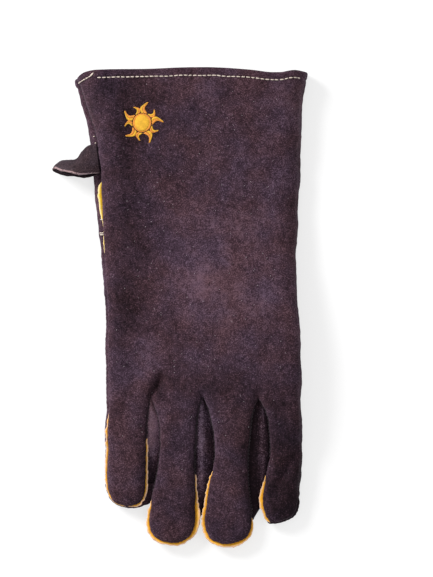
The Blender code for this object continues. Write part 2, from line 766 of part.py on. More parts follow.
def add_loop(upper, marks):
    """The hanging loop: a folded band whose two ends lie in the side seam."""
    seam = np.array([upper[k] for k, m in enumerate(marks) if m[0] == "left"])
    start_y = HAND_LENGTH * (1 - LOOP_DOWN)

    def seam_at(y, axis):
        return np.interp(-y, -seam[:, 1], seam[:, axis])

    rows = []
    for k in range(len(LOOP_BAND["out"])):
        pair = []
        for edge in ("low", "high"):
            y = start_y - LOOP_BAND[edge + "_along"][k] * LOOP_WIDTH
            x = seam_at(y, 0) - SEAM_GAP - LOOP_THICKNESS / 4 - LOOP_BAND["out"][k] * LOOP_REACH
            z = LOOP_BAND[edge + "_height"][k] * LOOP_WIDTH + LOOP_BAND["sewn"][k] * seam_at(y, 2)
            pair.append(np.array([x, y, z]))
        rows.append(pair)
    band = np.array(rows)
    fine = np.linspace(0, len(band) - 1, 2 * len(band) - 1)
    key = {"down": np.arange(len(band), dtype=float)}
    dense = np.zeros((len(fine), 2, 3))
    for edge in range(2):
        for axis in range(3):
            dense[:, edge, axis] = read({**key, "v": band[:, edge, axis]}, "v", fine)
    run = np.gradient(dense, axis=0)
    wide = (dense[:, 1] - dense[:, 0])[:, None, :]
    normal = np.cross(run, np.broadcast_to(wide, run.shape))
    normal /= np.linalg.norm(normal, axis=2)[..., None]
    outside, inside = dense + normal * LOOP_THICKNESS / 2, dense - normal * LOOP_THICKNESS / 2
    count = len(dense)
    corners = [outside[:, 0], outside[:, 1], inside[:, 1], inside[:, 0]]
    points = [p for k in range(count) for p in (c[k] for c in corners)]
    faces = []
    for k in range(count - 1):
        for s in range(4):
            t = (s + 1) % 4
            faces.append([4 * k + t, 4 * k + s, 4 * k + 4 + s, 4 * k + 4 + t])
    faces.append([0, 1, 2, 3])
    faces.append([4 * count - 1 - s for s in range(4)])
    return new_object("hanging_loop", points, faces, "hanging_loop")


def centre_on_base():
    """Moves every piece so that the origin is the middle of the glove's base."""
    corners = np.array([v.co for o in bpy.data.objects for v in o.data.vertices])
    low, high = corners.min(axis=0), corners.max(axis=0)
    shift = (-(low[0] + high[0]) / 2, -(low[1] + high[1]) / 2, -low[2])
    for piece in bpy.data.objects:
        for v in piece.data.vertices:
            v.co.x += shift[0]
            v.co.y += shift[1]
            v.co.z += shift[2]


def main():
    for old in list(bpy.data.objects):
        bpy.data.objects.remove(old, do_unlink=True)
    skin, upper, marks = build_skin()
    cut_panel(skin, "back_panel", "back_panel")
    cut_panel(skin, "palm_panel", "palm_panel")
    for name in FOURCHETTES:
        cut_panel(skin, name, "fourchette")
    cut_panel(skin, "thumb", "thumb")
    add_welts(skin, upper, marks)
    add_loop(upper, marks)
    centre_on_base()


main()
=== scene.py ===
"""Looks of the leather gauntlet glove: suede panels, welts, stitching, a hanging loop and a small emblem.

The glove's outer skin is drawn as in its CAD source, many times finer, then dented, creased and
lumped like soft split leather, and cut along its seams into panels with an inner face.
Distances are metres in the frame of the CAD. The glove is first drawn about the middle of the
finger roots, and every piece is then shifted to where the frame has it.
"""

import math

import bmesh
import bpy
import numpy as np
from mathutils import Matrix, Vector
from mathutils.kdtree import KDTree


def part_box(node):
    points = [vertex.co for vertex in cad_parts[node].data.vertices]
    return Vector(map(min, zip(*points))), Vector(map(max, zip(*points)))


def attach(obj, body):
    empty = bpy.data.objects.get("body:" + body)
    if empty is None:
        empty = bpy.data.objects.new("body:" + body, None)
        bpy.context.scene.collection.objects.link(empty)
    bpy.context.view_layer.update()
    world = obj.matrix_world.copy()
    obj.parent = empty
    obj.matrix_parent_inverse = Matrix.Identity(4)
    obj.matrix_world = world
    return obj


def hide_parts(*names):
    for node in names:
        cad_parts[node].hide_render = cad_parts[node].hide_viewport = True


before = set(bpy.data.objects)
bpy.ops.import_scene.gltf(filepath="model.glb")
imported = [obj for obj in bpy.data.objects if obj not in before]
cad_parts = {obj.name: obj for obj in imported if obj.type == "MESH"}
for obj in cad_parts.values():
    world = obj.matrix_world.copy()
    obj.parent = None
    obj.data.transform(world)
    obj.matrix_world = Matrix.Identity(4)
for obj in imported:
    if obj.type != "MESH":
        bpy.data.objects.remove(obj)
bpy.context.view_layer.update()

# The sizes and tables that the CAD also has are the same here, but for these: the seams are closed
# and the fingers' undersides touch (FINGER_CLEARANCE is below 0), so that no floor shows through.
# There are more folds, and small changes to the hem, the cuff's edge, its left side, the index
# finger's tip, the spread of the fingers' undersides, the welts and the loop.
HAND_LENGTH = 0.241
HAND_WIDTH = 0.143
CUFF_FLARE = 0.0265
LITTLE_LENGTH = 0.0805
RING_LENGTH = 0.107
MIDDLE_LENGTH = 0.1082
INDEX_LENGTH = 0.0915
TIP_LENGTH = 0.0178
CUFF_OPENING = 0.030
HAND_HEIGHT = 0.018
FINGER_HEIGHT = 0.0185
THUMB_HEIGHT = 0.0135
THUMB_CLEARANCE = 0.0028
THUMB_LENGTH = 0.060
THUMB_WIDTH = 0.039
WALL = 0.0020
HEM_WALL = 0.0030
HEM_WIDTH = 0.0057
SIDE_HEIGHT = 0.0085
SIDE_BULGE = 0.17
EDGE_RADIUS = 0.016
FINGER_RADIUS = 0.0090
FINGER_ROLL = 0.0020
FINGER_CLEARANCE = -0.0003
HEM_WAVE = 0.0103
LOOP_REACH = 0.0330
LOOP_WIDTH = 0.0225
LOOP_THICKNESS = 0.0015
LOOP_DOWN = 0.225
TOP_FULLNESS = 2.0
UNDER_FULLNESS = 2.2
LITTLE_SIDE_LIFT = 0.35
CROWN = 0.10
TIP_ROUNDNESS = 0.43
SEAM_GAP = 0.00002

# How finely the skin is divided. A lane is one finger's share of the hand's width.
LANES = 4
LANE_COLUMNS = 26
SIDE_ROWS = 7
TIP_ROWS = 13
ROW_SPACING = 0.00125
THUMB_RINGS_FINE = 64
LANE_EDGE_BIAS = 0.45
TIP_EDGE_BIAS = 0.65

# How the sheets' edges blend, as shares of the hand's length or of a finger's straight part: how far
# the cuff's wave reaches, where a finger's underside has spread to its neighbour, where it has its
# full clearance, and how much of the clearance it has at the root
HEM_WAVE_END = 0.25
SPREAD_START = 0.02
CLEARANCE_START = 0.10
ROOT_CLEARANCE = 0.1
# The crotches between fingers are hollows, longer along the hand, where distances count this much
CROTCH_STRETCH = 0.62
# The side walls' bulge fades over this many outline points either way of a crotch
BULGE_FADE = 8

# The thumb hole and the wrap of the back panel on the index side, as in the CAD
HOLE_FIRST_ROW = 0.565
HOLE_LAST_ROW = 0.775
HOLE_FIRST_SHARE = 0.25
HOLE_LAST_SHARE = 0.50
WRAP_SHARE = 0.75

# Stitching and welts
STITCH_PITCH = 0.0036
HEM_STITCH = 0.0028
SEAM_STITCH = 0.0019
THREAD = 0.00046
WELT_REACH = 0.0029
WELT_THICKNESS = 0.0013


def table(columns, *rows):
    """A short table: the names of its columns, then a row for each section."""
    return dict(zip(columns.split(), (np.array(c, float) for c in zip(*rows))))


HAND_SIDES = table(
    "down   back   left   right",
    (0.000, 0.840, 0.860, 0.170),
    (0.090, 0.617, 0.700, 0.075),
    (0.222, 0.283, 0.475, -0.010),
    (0.396, 0.158, 0.340, -0.064),
    (0.518, 0.117, 0.214, -0.105),
    (0.640, 0.033, 0.061, -0.147),
    (0.762, -0.010, 0.000, -0.064),
    (0.884, -0.020, -0.010, -0.006),
    (1.000, -0.020, -0.010, 0.005),
)
CUFF_EDGE = table(
    "across back   palm",
    (0.000, 0.62, 0.80),
    (0.017, 0.33, 0.65),
    (0.062, 0.06, 0.42),
    (0.120, -0.01, 0.25),
    (0.300, -0.04, 0.10),
    (0.500, -0.16, 0.05),
    (0.620, -0.14, 0.05),
    (0.750, 0.00, 0.10),
    (0.880, 0.20, 0.12),
    (0.950, 0.02, 0.10),
    (1.000, 0.16, 0.16),
)
HAND_PROFILE = table(
    "down  cuff  lift  side  strip",
    (0.00, 1.00, 0.00, 0.36, 0.50),
    (0.20, 0.72, 0.00, 0.36, 0.70),
    (0.40, 0.45, 0.03, 0.38, 0.75),
    (0.52, 0.30, 0.25, 0.42, 0.70),
    (0.62, 0.12, 0.65, 0.45, 0.65),
    (0.77, 0.00, 1.00, 0.48, 0.60),
    (0.90, 0.00, 0.97, 0.50, 0.60),
    (1.00, 0.00, 0.84, 0.50, 0.60),
)
FINGER_PROFILE = table(
    "down  lift  height side  strip",
    (0.00, 0.84, 0.97, 0.50, 0.60),
    (0.15, 0.64, 1.00, 0.50, 0.90),
    (0.40, 0.28, 1.03, 0.50, 1.00),
    (0.65, 0.02, 1.00, 0.48, 0.90),
    (0.85, -0.05, 0.95, 0.47, 0.60),
    (1.00, -0.06, 0.88, 0.47, 0.50),
)
LITTLE_SIDES = table(
    "down  left    right",
    (0.00, -0.496, -0.275),
    (0.15, -0.496, -0.288),
    (0.42, -0.499, -0.296),
    (0.72, -0.501, -0.298),
    (1.00, -0.500, -0.301),
)
RING_SIDES = table(
    "down  left    right",
    (0.00, -0.275, -0.008),
    (0.07, -0.256, -0.021),
    (0.15, -0.239, -0.032),
    (0.27, -0.229, -0.040),
    (0.44, -0.231, -0.044),
    (0.60, -0.243, -0.046),
    (0.78, -0.264, -0.044),
    (1.00, -0.289, -0.045),
)
MIDDLE_SIDES = table(
    "down  left    right",
    (0.00, -0.008, 0.278),
    (0.07, 0.012, 0.261),
    (0.15, 0.029, 0.247),
    (0.27, 0.044, 0.238),
    (0.43, 0.049, 0.229),
    (0.58, 0.042, 0.225),
    (0.75, 0.018, 0.230),
    (1.00, -0.004, 0.246),
)
INDEX_SIDES = table(
    "down  left    right",
    (0.00, 0.278, 0.490),
    (0.06, 0.296, 0.491),
    (0.15, 0.317, 0.492),
    (0.33, 0.334, 0.493),
    (0.57, 0.336, 0.493),
    (0.74, 0.320, 0.491),
    (1.00, 0.301, 0.483),
)
SIDE_SPREAD = table(
    "down  little ring  middle",
    (0.00, 1.00, 1.00, 1.00),
    (0.78, 1.00, 1.00, 1.00),
    (0.92, 1.00, 0.75, 0.50),
    (1.00, 0.90, 0.35, 0.02),
)
THUMB_RINGS = table(
    "top    rear    rise  foot  wide  inward",
    (0.010, -0.800, 1.10, 0.28, 1.12, 0.00),
    (0.040, -0.470, 1.02, 0.00, 1.08, 0.01),
    (0.110, -0.130, 1.00, 0.00, 1.04, 0.03),
    (0.240, 0.160, 1.00, 0.00, 1.00, 0.06),
    (0.420, 0.400, 1.00, 0.00, 0.98, 0.10),
    (0.600, 0.600, 0.97, 0.00, 0.95, 0.14),
    (0.740, 0.740, 0.92, 0.00, 0.88, 0.18),
    (0.820, 0.820, 0.86, 0.00, 0.80, 0.20),
)
LOOP_BAND = table(
    "out    low_along high_along low_height high_height sewn",
    (0.000, 0.02, 0.96, 0.150, 0.150, 1.0),
    (0.180, 0.07, 0.97, 0.440, 0.800, 0.0),
    (0.350, 0.26, 0.99, 0.300, 0.900, 0.0),
    (0.510, 0.51, 0.98, 0.200, 0.970, 0.0),
    (0.820, 0.55, 0.88, 0.120, 0.985, 0.0),
    (0.960, 0.68, 0.80, 0.055, 0.985, 0.0),
    (1.015, 0.82, 0.85, 0.055, 0.975, 0.0),
    (0.960, 0.78, 0.93, 0.055, 0.965, 0.0),
    (0.820, 0.80, 0.98, 0.055, 0.950, 0.0),
    (0.590, 0.82, 1.03, 0.070, 0.860, 0.0),
    (0.370, 0.84, 1.08, 0.130, 0.740, 0.0),
    (0.180, 0.66, 1.06, 0.340, 0.580, 0.0),
    (0.000, 0.06, 0.98, 0.045, 0.045, 1.0),
)

# Dents, folds and swellings of the back. Two ends, each across and down the hand from the cuff to
# the finger roots (down passes 1 on the fingers), then width and depth in metres.
FOLDS = table(
    "across1 down1 across2 down2 width  depth",
    (0.13, 0.08, 0.16, 0.42, 0.012, 0.0022),
    (0.09, 0.45, 0.22, 0.52, 0.013, 0.0016),
    (0.236, 0.990, 0.282, 0.938, 0.0030, 0.0042),
    (0.86, 1.29, 1.01, 1.13, 0.0040, 0.0030),
    (0.90, 1.32, 1.01, 1.21, 0.0060, -0.0012),
    (0.215, 0.985, 0.235, 0.900, 0.0050, -0.0010),
    (0.55, 0.62, 0.80, 0.55, 0.016, 0.0010),
    (0.30, 0.62, 0.42, 0.74, 0.016, -0.0010),
    (0.02, 0.035, 0.17, 0.13, 0.0060, 0.0012),
    (0.00, 0.12, 0.10, 0.30, 0.0060, -0.0010),
    (0.61, 0.985, 0.66, 0.950, 0.0035, 0.0012),
    (0.335, 0.000, 0.335, 0.030, 0.0022, 0.0012),
    (0.445, 0.000, 0.440, 0.026, 0.0020, 0.0010),
    (0.530, 0.000, 0.535, 0.024, 0.0020, 0.0009),
    (0.800, 0.000, 0.810, 0.030, 0.0030, 0.0010),
    (0.10, 1.02, 0.16, 1.10, 0.0070, 0.0006),
    (0.40, 1.16, 0.62, 1.13, 0.0060, 0.0006),
    (0.66, 1.20, 0.86, 1.22, 0.0060, 0.0006),
)


def smooth(x):
    """0 below 0, 1 above 1, and an even rise between."""
    x = np.clip(x, 0.0, 1.0)
    return x * x * (3.0 - 2.0 * x)


def read(rows, column, at, key="down"):
    """A table's column at a place, on a smooth curve through its rows."""
    x, y = rows[key], rows[column]
    at = np.clip(np.asarray(at, float), x[0], x[-1])
    slope = np.diff(y) / np.diff(x)
    tangent = np.concatenate([slope[:1], (slope[1:] + slope[:-1]) / 2, slope[-1:]])
    k = np.clip(np.searchsorted(x, at, side="right") - 1, 0, len(x) - 2)
    h = x[k + 1] - x[k]
    s = (at - x[k]) / h
    return (
        y[k] * (1 + 2 * s) * (1 - s) ** 2
        + y[k + 1] * s * s * (3 - 2 * s)
        + h * tangent[k] * s * (1 - s) ** 2
        - h * tangent[k + 1] * s * s * (1 - s)
    )


def shoulder(distance, radius, fullness):
    """0 on an edge and 1 past the radius, with the section of a rounded shoulder between."""
    u = np.clip(distance / radius, 0.0, 1.0)
    return (1.0 - (1.0 - u) ** fullness) ** (1.0 / fullness)


# The photograph's scale, and where the middle of the finger roots is in it
PIXEL = 0.000735
ROOTS_X = 204.4
ROOTS_Y = 397.8


def photo_place(px, py):
    """A place in the photograph as a place in plan."""
    return np.array([(px - ROOTS_X) * PIXEL, (ROOTS_Y - py) * PIXEL])


def waves(points, length, seed, stretch=(1.0, 1.0, 1.0), count=26):
    """A smooth random field between about -1 and 1, made of plane waves of about one length."""
    rng = np.random.default_rng(seed)
    total = np.zeros(len(points))
    for _ in range(count):
        direction = rng.normal(size=3)
        direction /= np.linalg.norm(direction)
        direction *= 2 * math.pi / (length * rng.uniform(0.7, 1.5)) * np.array(stretch)
        total += np.sin(points @ direction + rng.uniform(0, 2 * math.pi))
    return total / math.sqrt(count / 2) / 1.6


LIFT = THUMB_HEIGHT + THUMB_CLEARANCE
FINGERS = (
    (LITTLE_SIDES, LITTLE_LENGTH, 0.10),
    (RING_SIDES, RING_LENGTH, 0.08),
    (MIDDLE_SIDES, MIDDLE_LENGTH, -0.12),
    (INDEX_SIDES, INDEX_LENGTH, -0.54),
)
FOURCHETTES = ("fourchette_little_ring", "fourchette_ring_middle", "fourchette_middle_index")


def fractions():
    """Places across one lane, a little closer together at its edges, from 0 to 1."""
    even = np.linspace(0.0, 1.0, LANE_COLUMNS + 1)
    arc = (1.0 + np.sin(math.pi * (even - 0.5))) / 2.0
    return (1.0 - LANE_EDGE_BIAS) * even + LANE_EDGE_BIAS * arc


def hand_rows():
    """Shares down the hand of its rows."""
    return np.linspace(0.0, 1.0, round(HAND_LENGTH / ROW_SPACING) + 1)


def finger_rows(length):
    """Shares down a finger's straight part of its rows."""
    return np.linspace(0.0, 1.0, round((length - TIP_LENGTH) / ROW_SPACING) + 1)


def side_lift(across):
    """The palm stands lower on the little finger's side, away from the thumb."""
    return LITTLE_SIDE_LIFT + (1.0 - LITTLE_SIDE_LIFT) * smooth((across - 0.18) / 0.40)


def hand_place(across, down):
    """A place in plan from its shares across and down the hand."""
    return np.array([(across - 0.5) * HAND_WIDTH, HAND_LENGTH * (1 - down)])


def folds(x, y):
    """Depth of all dents and folds at a place on the back."""
    total = np.zeros_like(x)
    for across1, down1, across2, down2, width, depth in zip(*FOLDS.values()):
        start = hand_place(across1, down1)
        run = hand_place(across2, down2) - start
        share = np.clip(((x - start[0]) * run[0] + (y - start[1]) * run[1]) / (run @ run), 0.0, 1.0)
        away = np.hypot(x - start[0] - share * run[0], y - start[1] - share * run[1])
        total += depth * np.exp(-((away / width) ** 2))
    return total


def hand_heights(down, across):
    """Heights of the top and of the underside at a place on the hand, away from its edges."""
    under = LIFT * read(HAND_PROFILE, "lift", down) * side_lift(across)
    cuff = read(HAND_PROFILE, "cuff", down)
    thick = CUFF_OPENING * cuff + HAND_HEIGHT * (1.0 - cuff)
    return under + thick * (1.0 - CROWN * (2.0 * across - 1.0) ** 2), under


def hand_seam(down, across):
    """Heights of the upper and lower edges of the side wall, on either side of the hand."""
    top, under = hand_heights(down, across)
    middle = under + (top - under) * read(HAND_PROFILE, "side", down)
    half = SIDE_HEIGHT * read(HAND_PROFILE, "strip", down) / 2
    return middle + half, middle - half


def crotches():
    """Plan place and the two seam heights of each crotch between fingers."""
    found = []
    for sides, _, _ in FINGERS[:3]:
        x = sides["right"][0] * HAND_WIDTH
        upper, lower = hand_seam(1.0, x / HAND_WIDTH + 0.5)
        found.append((x, upper, lower))
    return found


def hand_edges(upper, down):
    """Places across of the left and right edges of the hand's top sheet, or of its lower one."""
    left = -HAND_WIDTH / 2 - CUFF_FLARE * read(HAND_SIDES, "back" if upper else "left", down)
    right = HAND_WIDTH / 2 + CUFF_FLARE * read(HAND_SIDES, "right", down) - SIDE_BULGE * SIDE_HEIGHT
    return left, right


def hand_sheet(upper):
    """The hand's top sheet, or its lower one, as rows of points from the cuff to the finger roots."""
    down = hand_rows()[:, None]
    left, right = hand_edges(upper, down)
    roots = [(x - left[-1, 0]) / (right[-1, 0] - left[-1, 0]) for x, _, _ in crotches()]
    even = np.linspace(0.0, 1.0, LANES + 1)
    bounds = even + (np.array([0.0, *roots, 1.0]) - even) * smooth(down)
    starts, lanes = bounds[:, :-1, None], np.diff(bounds, axis=1)[..., None]
    across = (starts + lanes * fractions()[:-1]).reshape(len(down), -1)
    across = np.hstack([across, bounds[:, -1:]])
    x = left + (right - left) * across
    drop = HEM_WAVE * read(CUFF_EDGE, "back" if upper else "palm", across, "across")
    y = HAND_LENGTH * (1.0 - down) - drop * np.clip(1.0 - down / HEM_WAVE_END, 0.0, 1.0) ** 2
    top, under = hand_heights(down, across)
    flat = top - folds(x, y) if upper else under
    side = 0 if upper else 1
    fullness = TOP_FULLNESS if upper else UNDER_FULLNESS
    radius = EDGE_RADIUS + (FINGER_RADIUS - EDGE_RADIUS) * smooth((down - 0.5) / 0.5)
    z = flat.copy()
    for edge, away in ((0.0, x - left), (1.0, right - x)):
        seam = hand_seam(down, edge)[side]
        z -= (flat - seam) * (1.0 - shoulder(away, radius, fullness))
    for place in crotches():
        away = np.hypot(x - place[0], CROTCH_STRETCH * y)
        z -= (flat - place[1 + side]) * (1.0 - shoulder(away, FINGER_RADIUS, fullness))
    return np.stack([x, y, z if upper else np.maximum(z, 0.0)], axis=-1)


def finger_edges(number, down, upper):
    """The two edges of a finger's top or lower sheet at shares down its straight part."""
    sides, length, _ = FINGERS[number]
    left = read(sides, "left", down) * HAND_WIDTH
    right = read(sides, "right", down) * HAND_WIDTH
    if upper:
        return left, right
    ramp = smooth(down / SPREAD_START)
    if number < LANES - 1:
        beside, other, _ = FINGERS[number + 1]
        at = down * (length - TIP_LENGTH) / (other - TIP_LENGTH)
        grown = ROOT_CLEARANCE + (1.0 - ROOT_CLEARANCE) * smooth(down / CLEARANCE_START)
        gap = read(beside, "left", at) * HAND_WIDTH + (FINGER_ROLL - FINGER_CLEARANCE * grown) * ramp
        spread = read(SIDE_SPREAD, ("little", "ring", "middle")[number], down)
        right = right + (gap - right) * spread * ramp
    if number > 0:
        left = left + FINGER_ROLL * ramp * (1.0 - smooth((down - 0.6) / 0.4))
    return left, right


def finger_sheet(number, upper, root):
    """A finger's top or lower sheet, from its root row to its rounded tip."""
    sides, length, lean = FINGERS[number]
    straight = finger_rows(length)[1:]
    even = np.linspace(0.0, 1.0, TIP_ROWS + 1)[1:]
    turn = (1.0 - TIP_EDGE_BIAS) * even + TIP_EDGE_BIAS * np.sin(even * math.pi / 2)
    down = np.concatenate([straight, np.ones(TIP_ROWS)])[:, None]
    tip = np.concatenate([np.zeros(len(straight)), turn])[:, None]
    u = 2.0 * fractions() - 1.0
    left, right = finger_edges(number, down, upper)
    half = (right - left) / 2
    wide = u * np.sqrt(1.0 - TIP_ROUNDNESS * tip**2)
    ahead = tip * np.sqrt(1.0 - TIP_ROUNDNESS * u**2)
    x = left + half + half * (wide + lean * ahead**2 * np.abs(1.0 - np.abs(wide)))
    y = -(length - TIP_LENGTH) * down - TIP_LENGTH * ahead
    lane = (sides["left"][0] + sides["right"][0]) / 2
    across = 0.5 + lane + (x / HAND_WIDTH - lane) * (1.0 - smooth(down / 0.6))
    under = LIFT * read(FINGER_PROFILE, "lift", down) * side_lift(across)
    thick = FINGER_HEIGHT * read(FINGER_PROFILE, "height", down)
    middle = under + thick * read(FINGER_PROFILE, "side", down)
    half_strip = SIDE_HEIGHT * read(FINGER_PROFILE, "strip", down) / 2
    fullness = TOP_FULLNESS if upper else UNDER_FULLNESS
    from_edge = half * (1.0 - np.sqrt(1.0 - (1.0 - u**2) * (1.0 - tip**2)))
    rise = shoulder(from_edge, FINGER_RADIUS, fullness)
    if upper:
        edge = middle + half_strip
        z = edge + (under + thick - folds(x, y) - edge) * rise
    else:
        edge = middle - half_strip
        z = np.maximum(edge + (under - edge) * rise, 0.0)
    rows = np.stack([x, y + np.zeros_like(x), z], axis=-1)
    return np.concatenate([root[None], rows])


class Skin:
    """The glove's outer surface: welded points, and quads that each carry the name of their panel."""

    def __init__(self):
        self.points, self.faces, self.names, self.index = [], [], [], {}

    def point(self, p):
        key = (round(p[0] * 1e7), round(p[1] * 1e7), round(p[2] * 1e7))
        if key not in self.index:
            self.index[key] = len(self.points)
            self.points.append(p)
        return self.index[key]

    def grid(self, points, name_of, turned=False):
        """Adds the quads of a grid of points. name_of(row, column) is a quad's panel, or None for a hole."""
        ids = [[self.point(p) for p in row] for row in np.asarray(points).tolist()]
        for r in range(len(ids) - 1):
            for c in range(len(ids[0]) - 1):
                name = name_of(r, c)
                if name is None:
                    continue
                quad = [ids[r][c], ids[r + 1][c], ids[r + 1][c + 1], ids[r][c + 1]]
                self.faces.append(quad[::-1] if turned else quad)
                self.names.append(name)

    def close(self):
        """Turns the lists into arrays once all grids are in."""
        self.points = np.array(self.points)
        self.faces = np.array(self.faces)
        self.names = np.array(self.names)

    def find_normals(self):
        """Outward normals at the points, from all the faces around each."""
        a, b, c, d = (self.points[self.faces[:, k]] for k in range(4))
        each = np.cross(c - a, d - b)
        self.normals = np.zeros_like(self.points)
        for k in range(4):
            np.add.at(self.normals, self.faces[:, k], each)
        length = np.linalg.norm(self.normals, axis=1)
        self.normals /= np.where(length > 0.0, length, 1.0)[:, None]


def outline(sheet, fingers):
    """The edge of the top or lower sheet, from the cuff's left end round the fingers to its right end."""
    points = list(sheet[:, 0])
    marks = [("left", 0)] * len(points)
    for number, finger in enumerate(fingers):
        last = len(finger) - 1
        walk = [(r, 0) for r in range(1, last + 1)]
        walk += [(last, c) for c in range(1, LANE_COLUMNS)]
        walk += [(r, LANE_COLUMNS) for r in range(last, -1, -1)]
        for r, c in walk:
            side = "tip" if r > last - TIP_ROWS else "first" if c == 0 else "second"
            points.append(finger[r, c])
            marks.append((side, number))
    points += list(sheet[::-1, -1][1:])
    marks += [("right", 3)] * (len(points) - len(marks))
    return np.array(points), marks


def side_strip(upper, lower, marks):
    """Rows of points between the top sheet's edge and the lower sheet's, bulging on the glove's outside."""
    path = (upper + lower) / 2
    run = np.gradient(path[:, :2], axis=0)
    out = np.stack([run[:, 1], -run[:, 0]], axis=1) / np.linalg.norm(run, axis=1)[:, None]
    between = {("second", 0), ("first", 1), ("second", 1), ("first", 2), ("second", 2), ("first", 3)}
    outside = np.array([0.0 if mark in between else 1.0 for mark in marks])
    window = np.ones(2 * BULGE_FADE + 1) / (2 * BULGE_FADE + 1)
    outside = np.convolve(np.pad(outside, BULGE_FADE, mode="edge"), window, mode="valid")
    bulge = SIDE_BULGE * (upper - lower)[:, 2] * outside
    rows = []
    for s in np.linspace(0.0, 1.0, SIDE_ROWS + 1):
        row = upper + (lower - upper) * s
        row[:, :2] += out * (bulge * 4 * s * (1 - s))[:, None]
        rows.append(row)
    return np.stack(rows, axis=1)


def strip_panel(marks, k):
    """Which panel holds the side wall after the outline's point k."""
    (side, number), (following, _) = marks[k], marks[k + 1]
    if "tip" in (side, following) or side == "left" or (side == "first" and number == 0):
        return "palm_panel"
    if side == "right" or (side == "second" and number == 3):
        return "back_panel"
    return FOURCHETTES[number - 1 if side == "first" else number]


def on_section(down, across):
    """A place in a square as a place in the thumb's rounded section: towards the index, then the floor."""
    a, b = 2 * across - 1, 1 - 2 * down
    wide = a * math.sqrt(1 - TIP_ROUNDNESS * b * b)
    return wide, b * math.sqrt(1 - TIP_ROUNDNESS * a * a), math.sqrt((1 - a * a) * (1 - b * b))


def add_thumb(skin, sheet, first, last, left, right):
    """The thumb's rings, from the hole in the palm down and forward to its rounded tip."""
    rows, columns = last - first, right - left
    walk = [(0, c) for c in range(columns)] + [(r, columns) for r in range(rows)]
    walk += [(rows, c) for c in range(columns, 0, -1)] + [(r, 0) for r in range(rows, 0, -1)]
    edge = np.array([sheet[first + r, left + c] for r, c in walk])
    front = sheet[last, left : right + 1]
    start_y, middle_x = front[:, 1].mean(), front[:, 0].mean()
    places = [on_section(r / rows, c / columns) for r, c in walk]
    wide_share = np.array([p[0] for p in places])[:, None]
    tall_share = np.array([p[1] for p in places])[:, None]
    key = {**THUMB_RINGS, "ring": np.arange(len(THUMB_RINGS["top"]), dtype=float)}

    def section(at):
        value = {name: float(read(key, name, at, "ring")) for name in THUMB_RINGS}
        x = middle_x - value["inward"] * THUMB_WIDTH
        upper = np.array([x, start_y - value["top"] * THUMB_LENGTH, value["rise"] * THUMB_HEIGHT])
        lower = np.array([x, start_y - value["rear"] * THUMB_LENGTH, value["foot"] * THUMB_HEIGHT])
        return (upper + lower) / 2, np.array([value["wide"] * THUMB_WIDTH / 2, 0.0, 0.0]), (lower - upper) / 2

    rings = []
    for at in np.linspace(-1.0, len(THUMB_RINGS["top"]) - 1.0, THUMB_RINGS_FINE):
        middle, wide, tall = section(max(at, 0.0))
        ring = middle + wide * wide_share + tall * tall_share
        if at < 0.0:
            ring = edge + (ring - edge) * (at + 1.0)
        ring[:, 2] = np.maximum(ring[:, 2], 0.0)
        rings.append(ring)
    rings[0] = edge
    closed = np.array([np.vstack([ring, ring[:1]]) for ring in rings])
    skin.grid(closed, lambda r, c: "thumb", turned=True)
    middle, wide, tall = section(len(THUMB_RINGS["top"]) - 1.0)
    depth = (1.0 - THUMB_RINGS["top"][-1]) * THUMB_LENGTH
    cap = np.zeros((rows + 1, columns + 1, 3))
    at_edge = {place: k for k, place in enumerate(walk)}
    for r in range(rows + 1):
        for c in range(columns + 1):
            if (r, c) in at_edge:
                cap[r, c] = rings[-1][at_edge[r, c]]
                continue
            a, b, ahead = on_section(r / rows, c / columns)
            cap[r, c] = middle + wide * a + tall * b - np.array([0.0, ahead * depth, 0.0])
            cap[r, c, 2] = max(cap[r, c, 2], 0.0)
    skin.grid(cap, lambda r, c: "thumb", turned=True)


def build_skin():
    """The whole outer surface before its relief, and the outline of the top sheet with its marks."""
    top, under = hand_sheet(True), hand_sheet(False)
    step = LANE_COLUMNS
    tops = [finger_sheet(i, True, top[-1, i * step : (i + 1) * step + 1]) for i in range(4)]
    unders = [finger_sheet(i, False, under[-1, i * step : (i + 1) * step + 1]) for i in range(4)]
    down, share = hand_rows(), fractions()
    first, last = (int(np.argmin(abs(down - d))) for d in (HOLE_FIRST_ROW, HOLE_LAST_ROW))
    left = 2 * step + int(np.argmin(abs(share - HOLE_FIRST_SHARE)))
    right = 3 * step + int(np.argmin(abs(share - HOLE_LAST_SHARE)))
    wrap = int(np.argmin(abs(share - WRAP_SHARE)))

    def under_panel(r, c):
        if first <= r < last and left <= c < right:
            return None
        return "back_panel" if c >= 3 * step + wrap else "palm_panel"

    def index_panel(r, c):
        straight = r < len(unders[3]) - 1 - TIP_ROWS
        return "back_panel" if straight and c >= wrap else "palm_panel"

    skin = Skin()
    skin.grid(top, lambda r, c: "back_panel")
    skin.grid(under, under_panel, turned=True)
    for number in range(4):
        skin.grid(tops[number], lambda r, c: "back_panel")
        skin.grid(unders[number], index_panel if number == 3 else lambda r, c: "palm_panel", turned=True)
    upper, marks = outline(top, tops)
    lower, _ = outline(under, unders)
    skin.grid(side_strip(upper, lower, marks), lambda r, c: strip_panel(marks, r), turned=True)
    add_thumb(skin, under, first, last, left, right)
    skin.close()
    skin.find_normals()
    return skin, upper, marks


def edge_table(skin):
    """Each edge's two panels: seam edges lie between two panels, and open edges have only one."""
    found = {}
    for face, name in zip(skin.faces.tolist(), skin.names.tolist()):
        for k in range(4):
            a, b = face[k], face[(k + 1) % 4]
            found.setdefault((min(a, b), max(a, b)), []).append(name)
    seams = [edge for edge, names in found.items() if len(names) == 2 and names[0] != names[1]]
    rims = [edge for edge, names in found.items() if len(names) == 1]
    return seams, rims


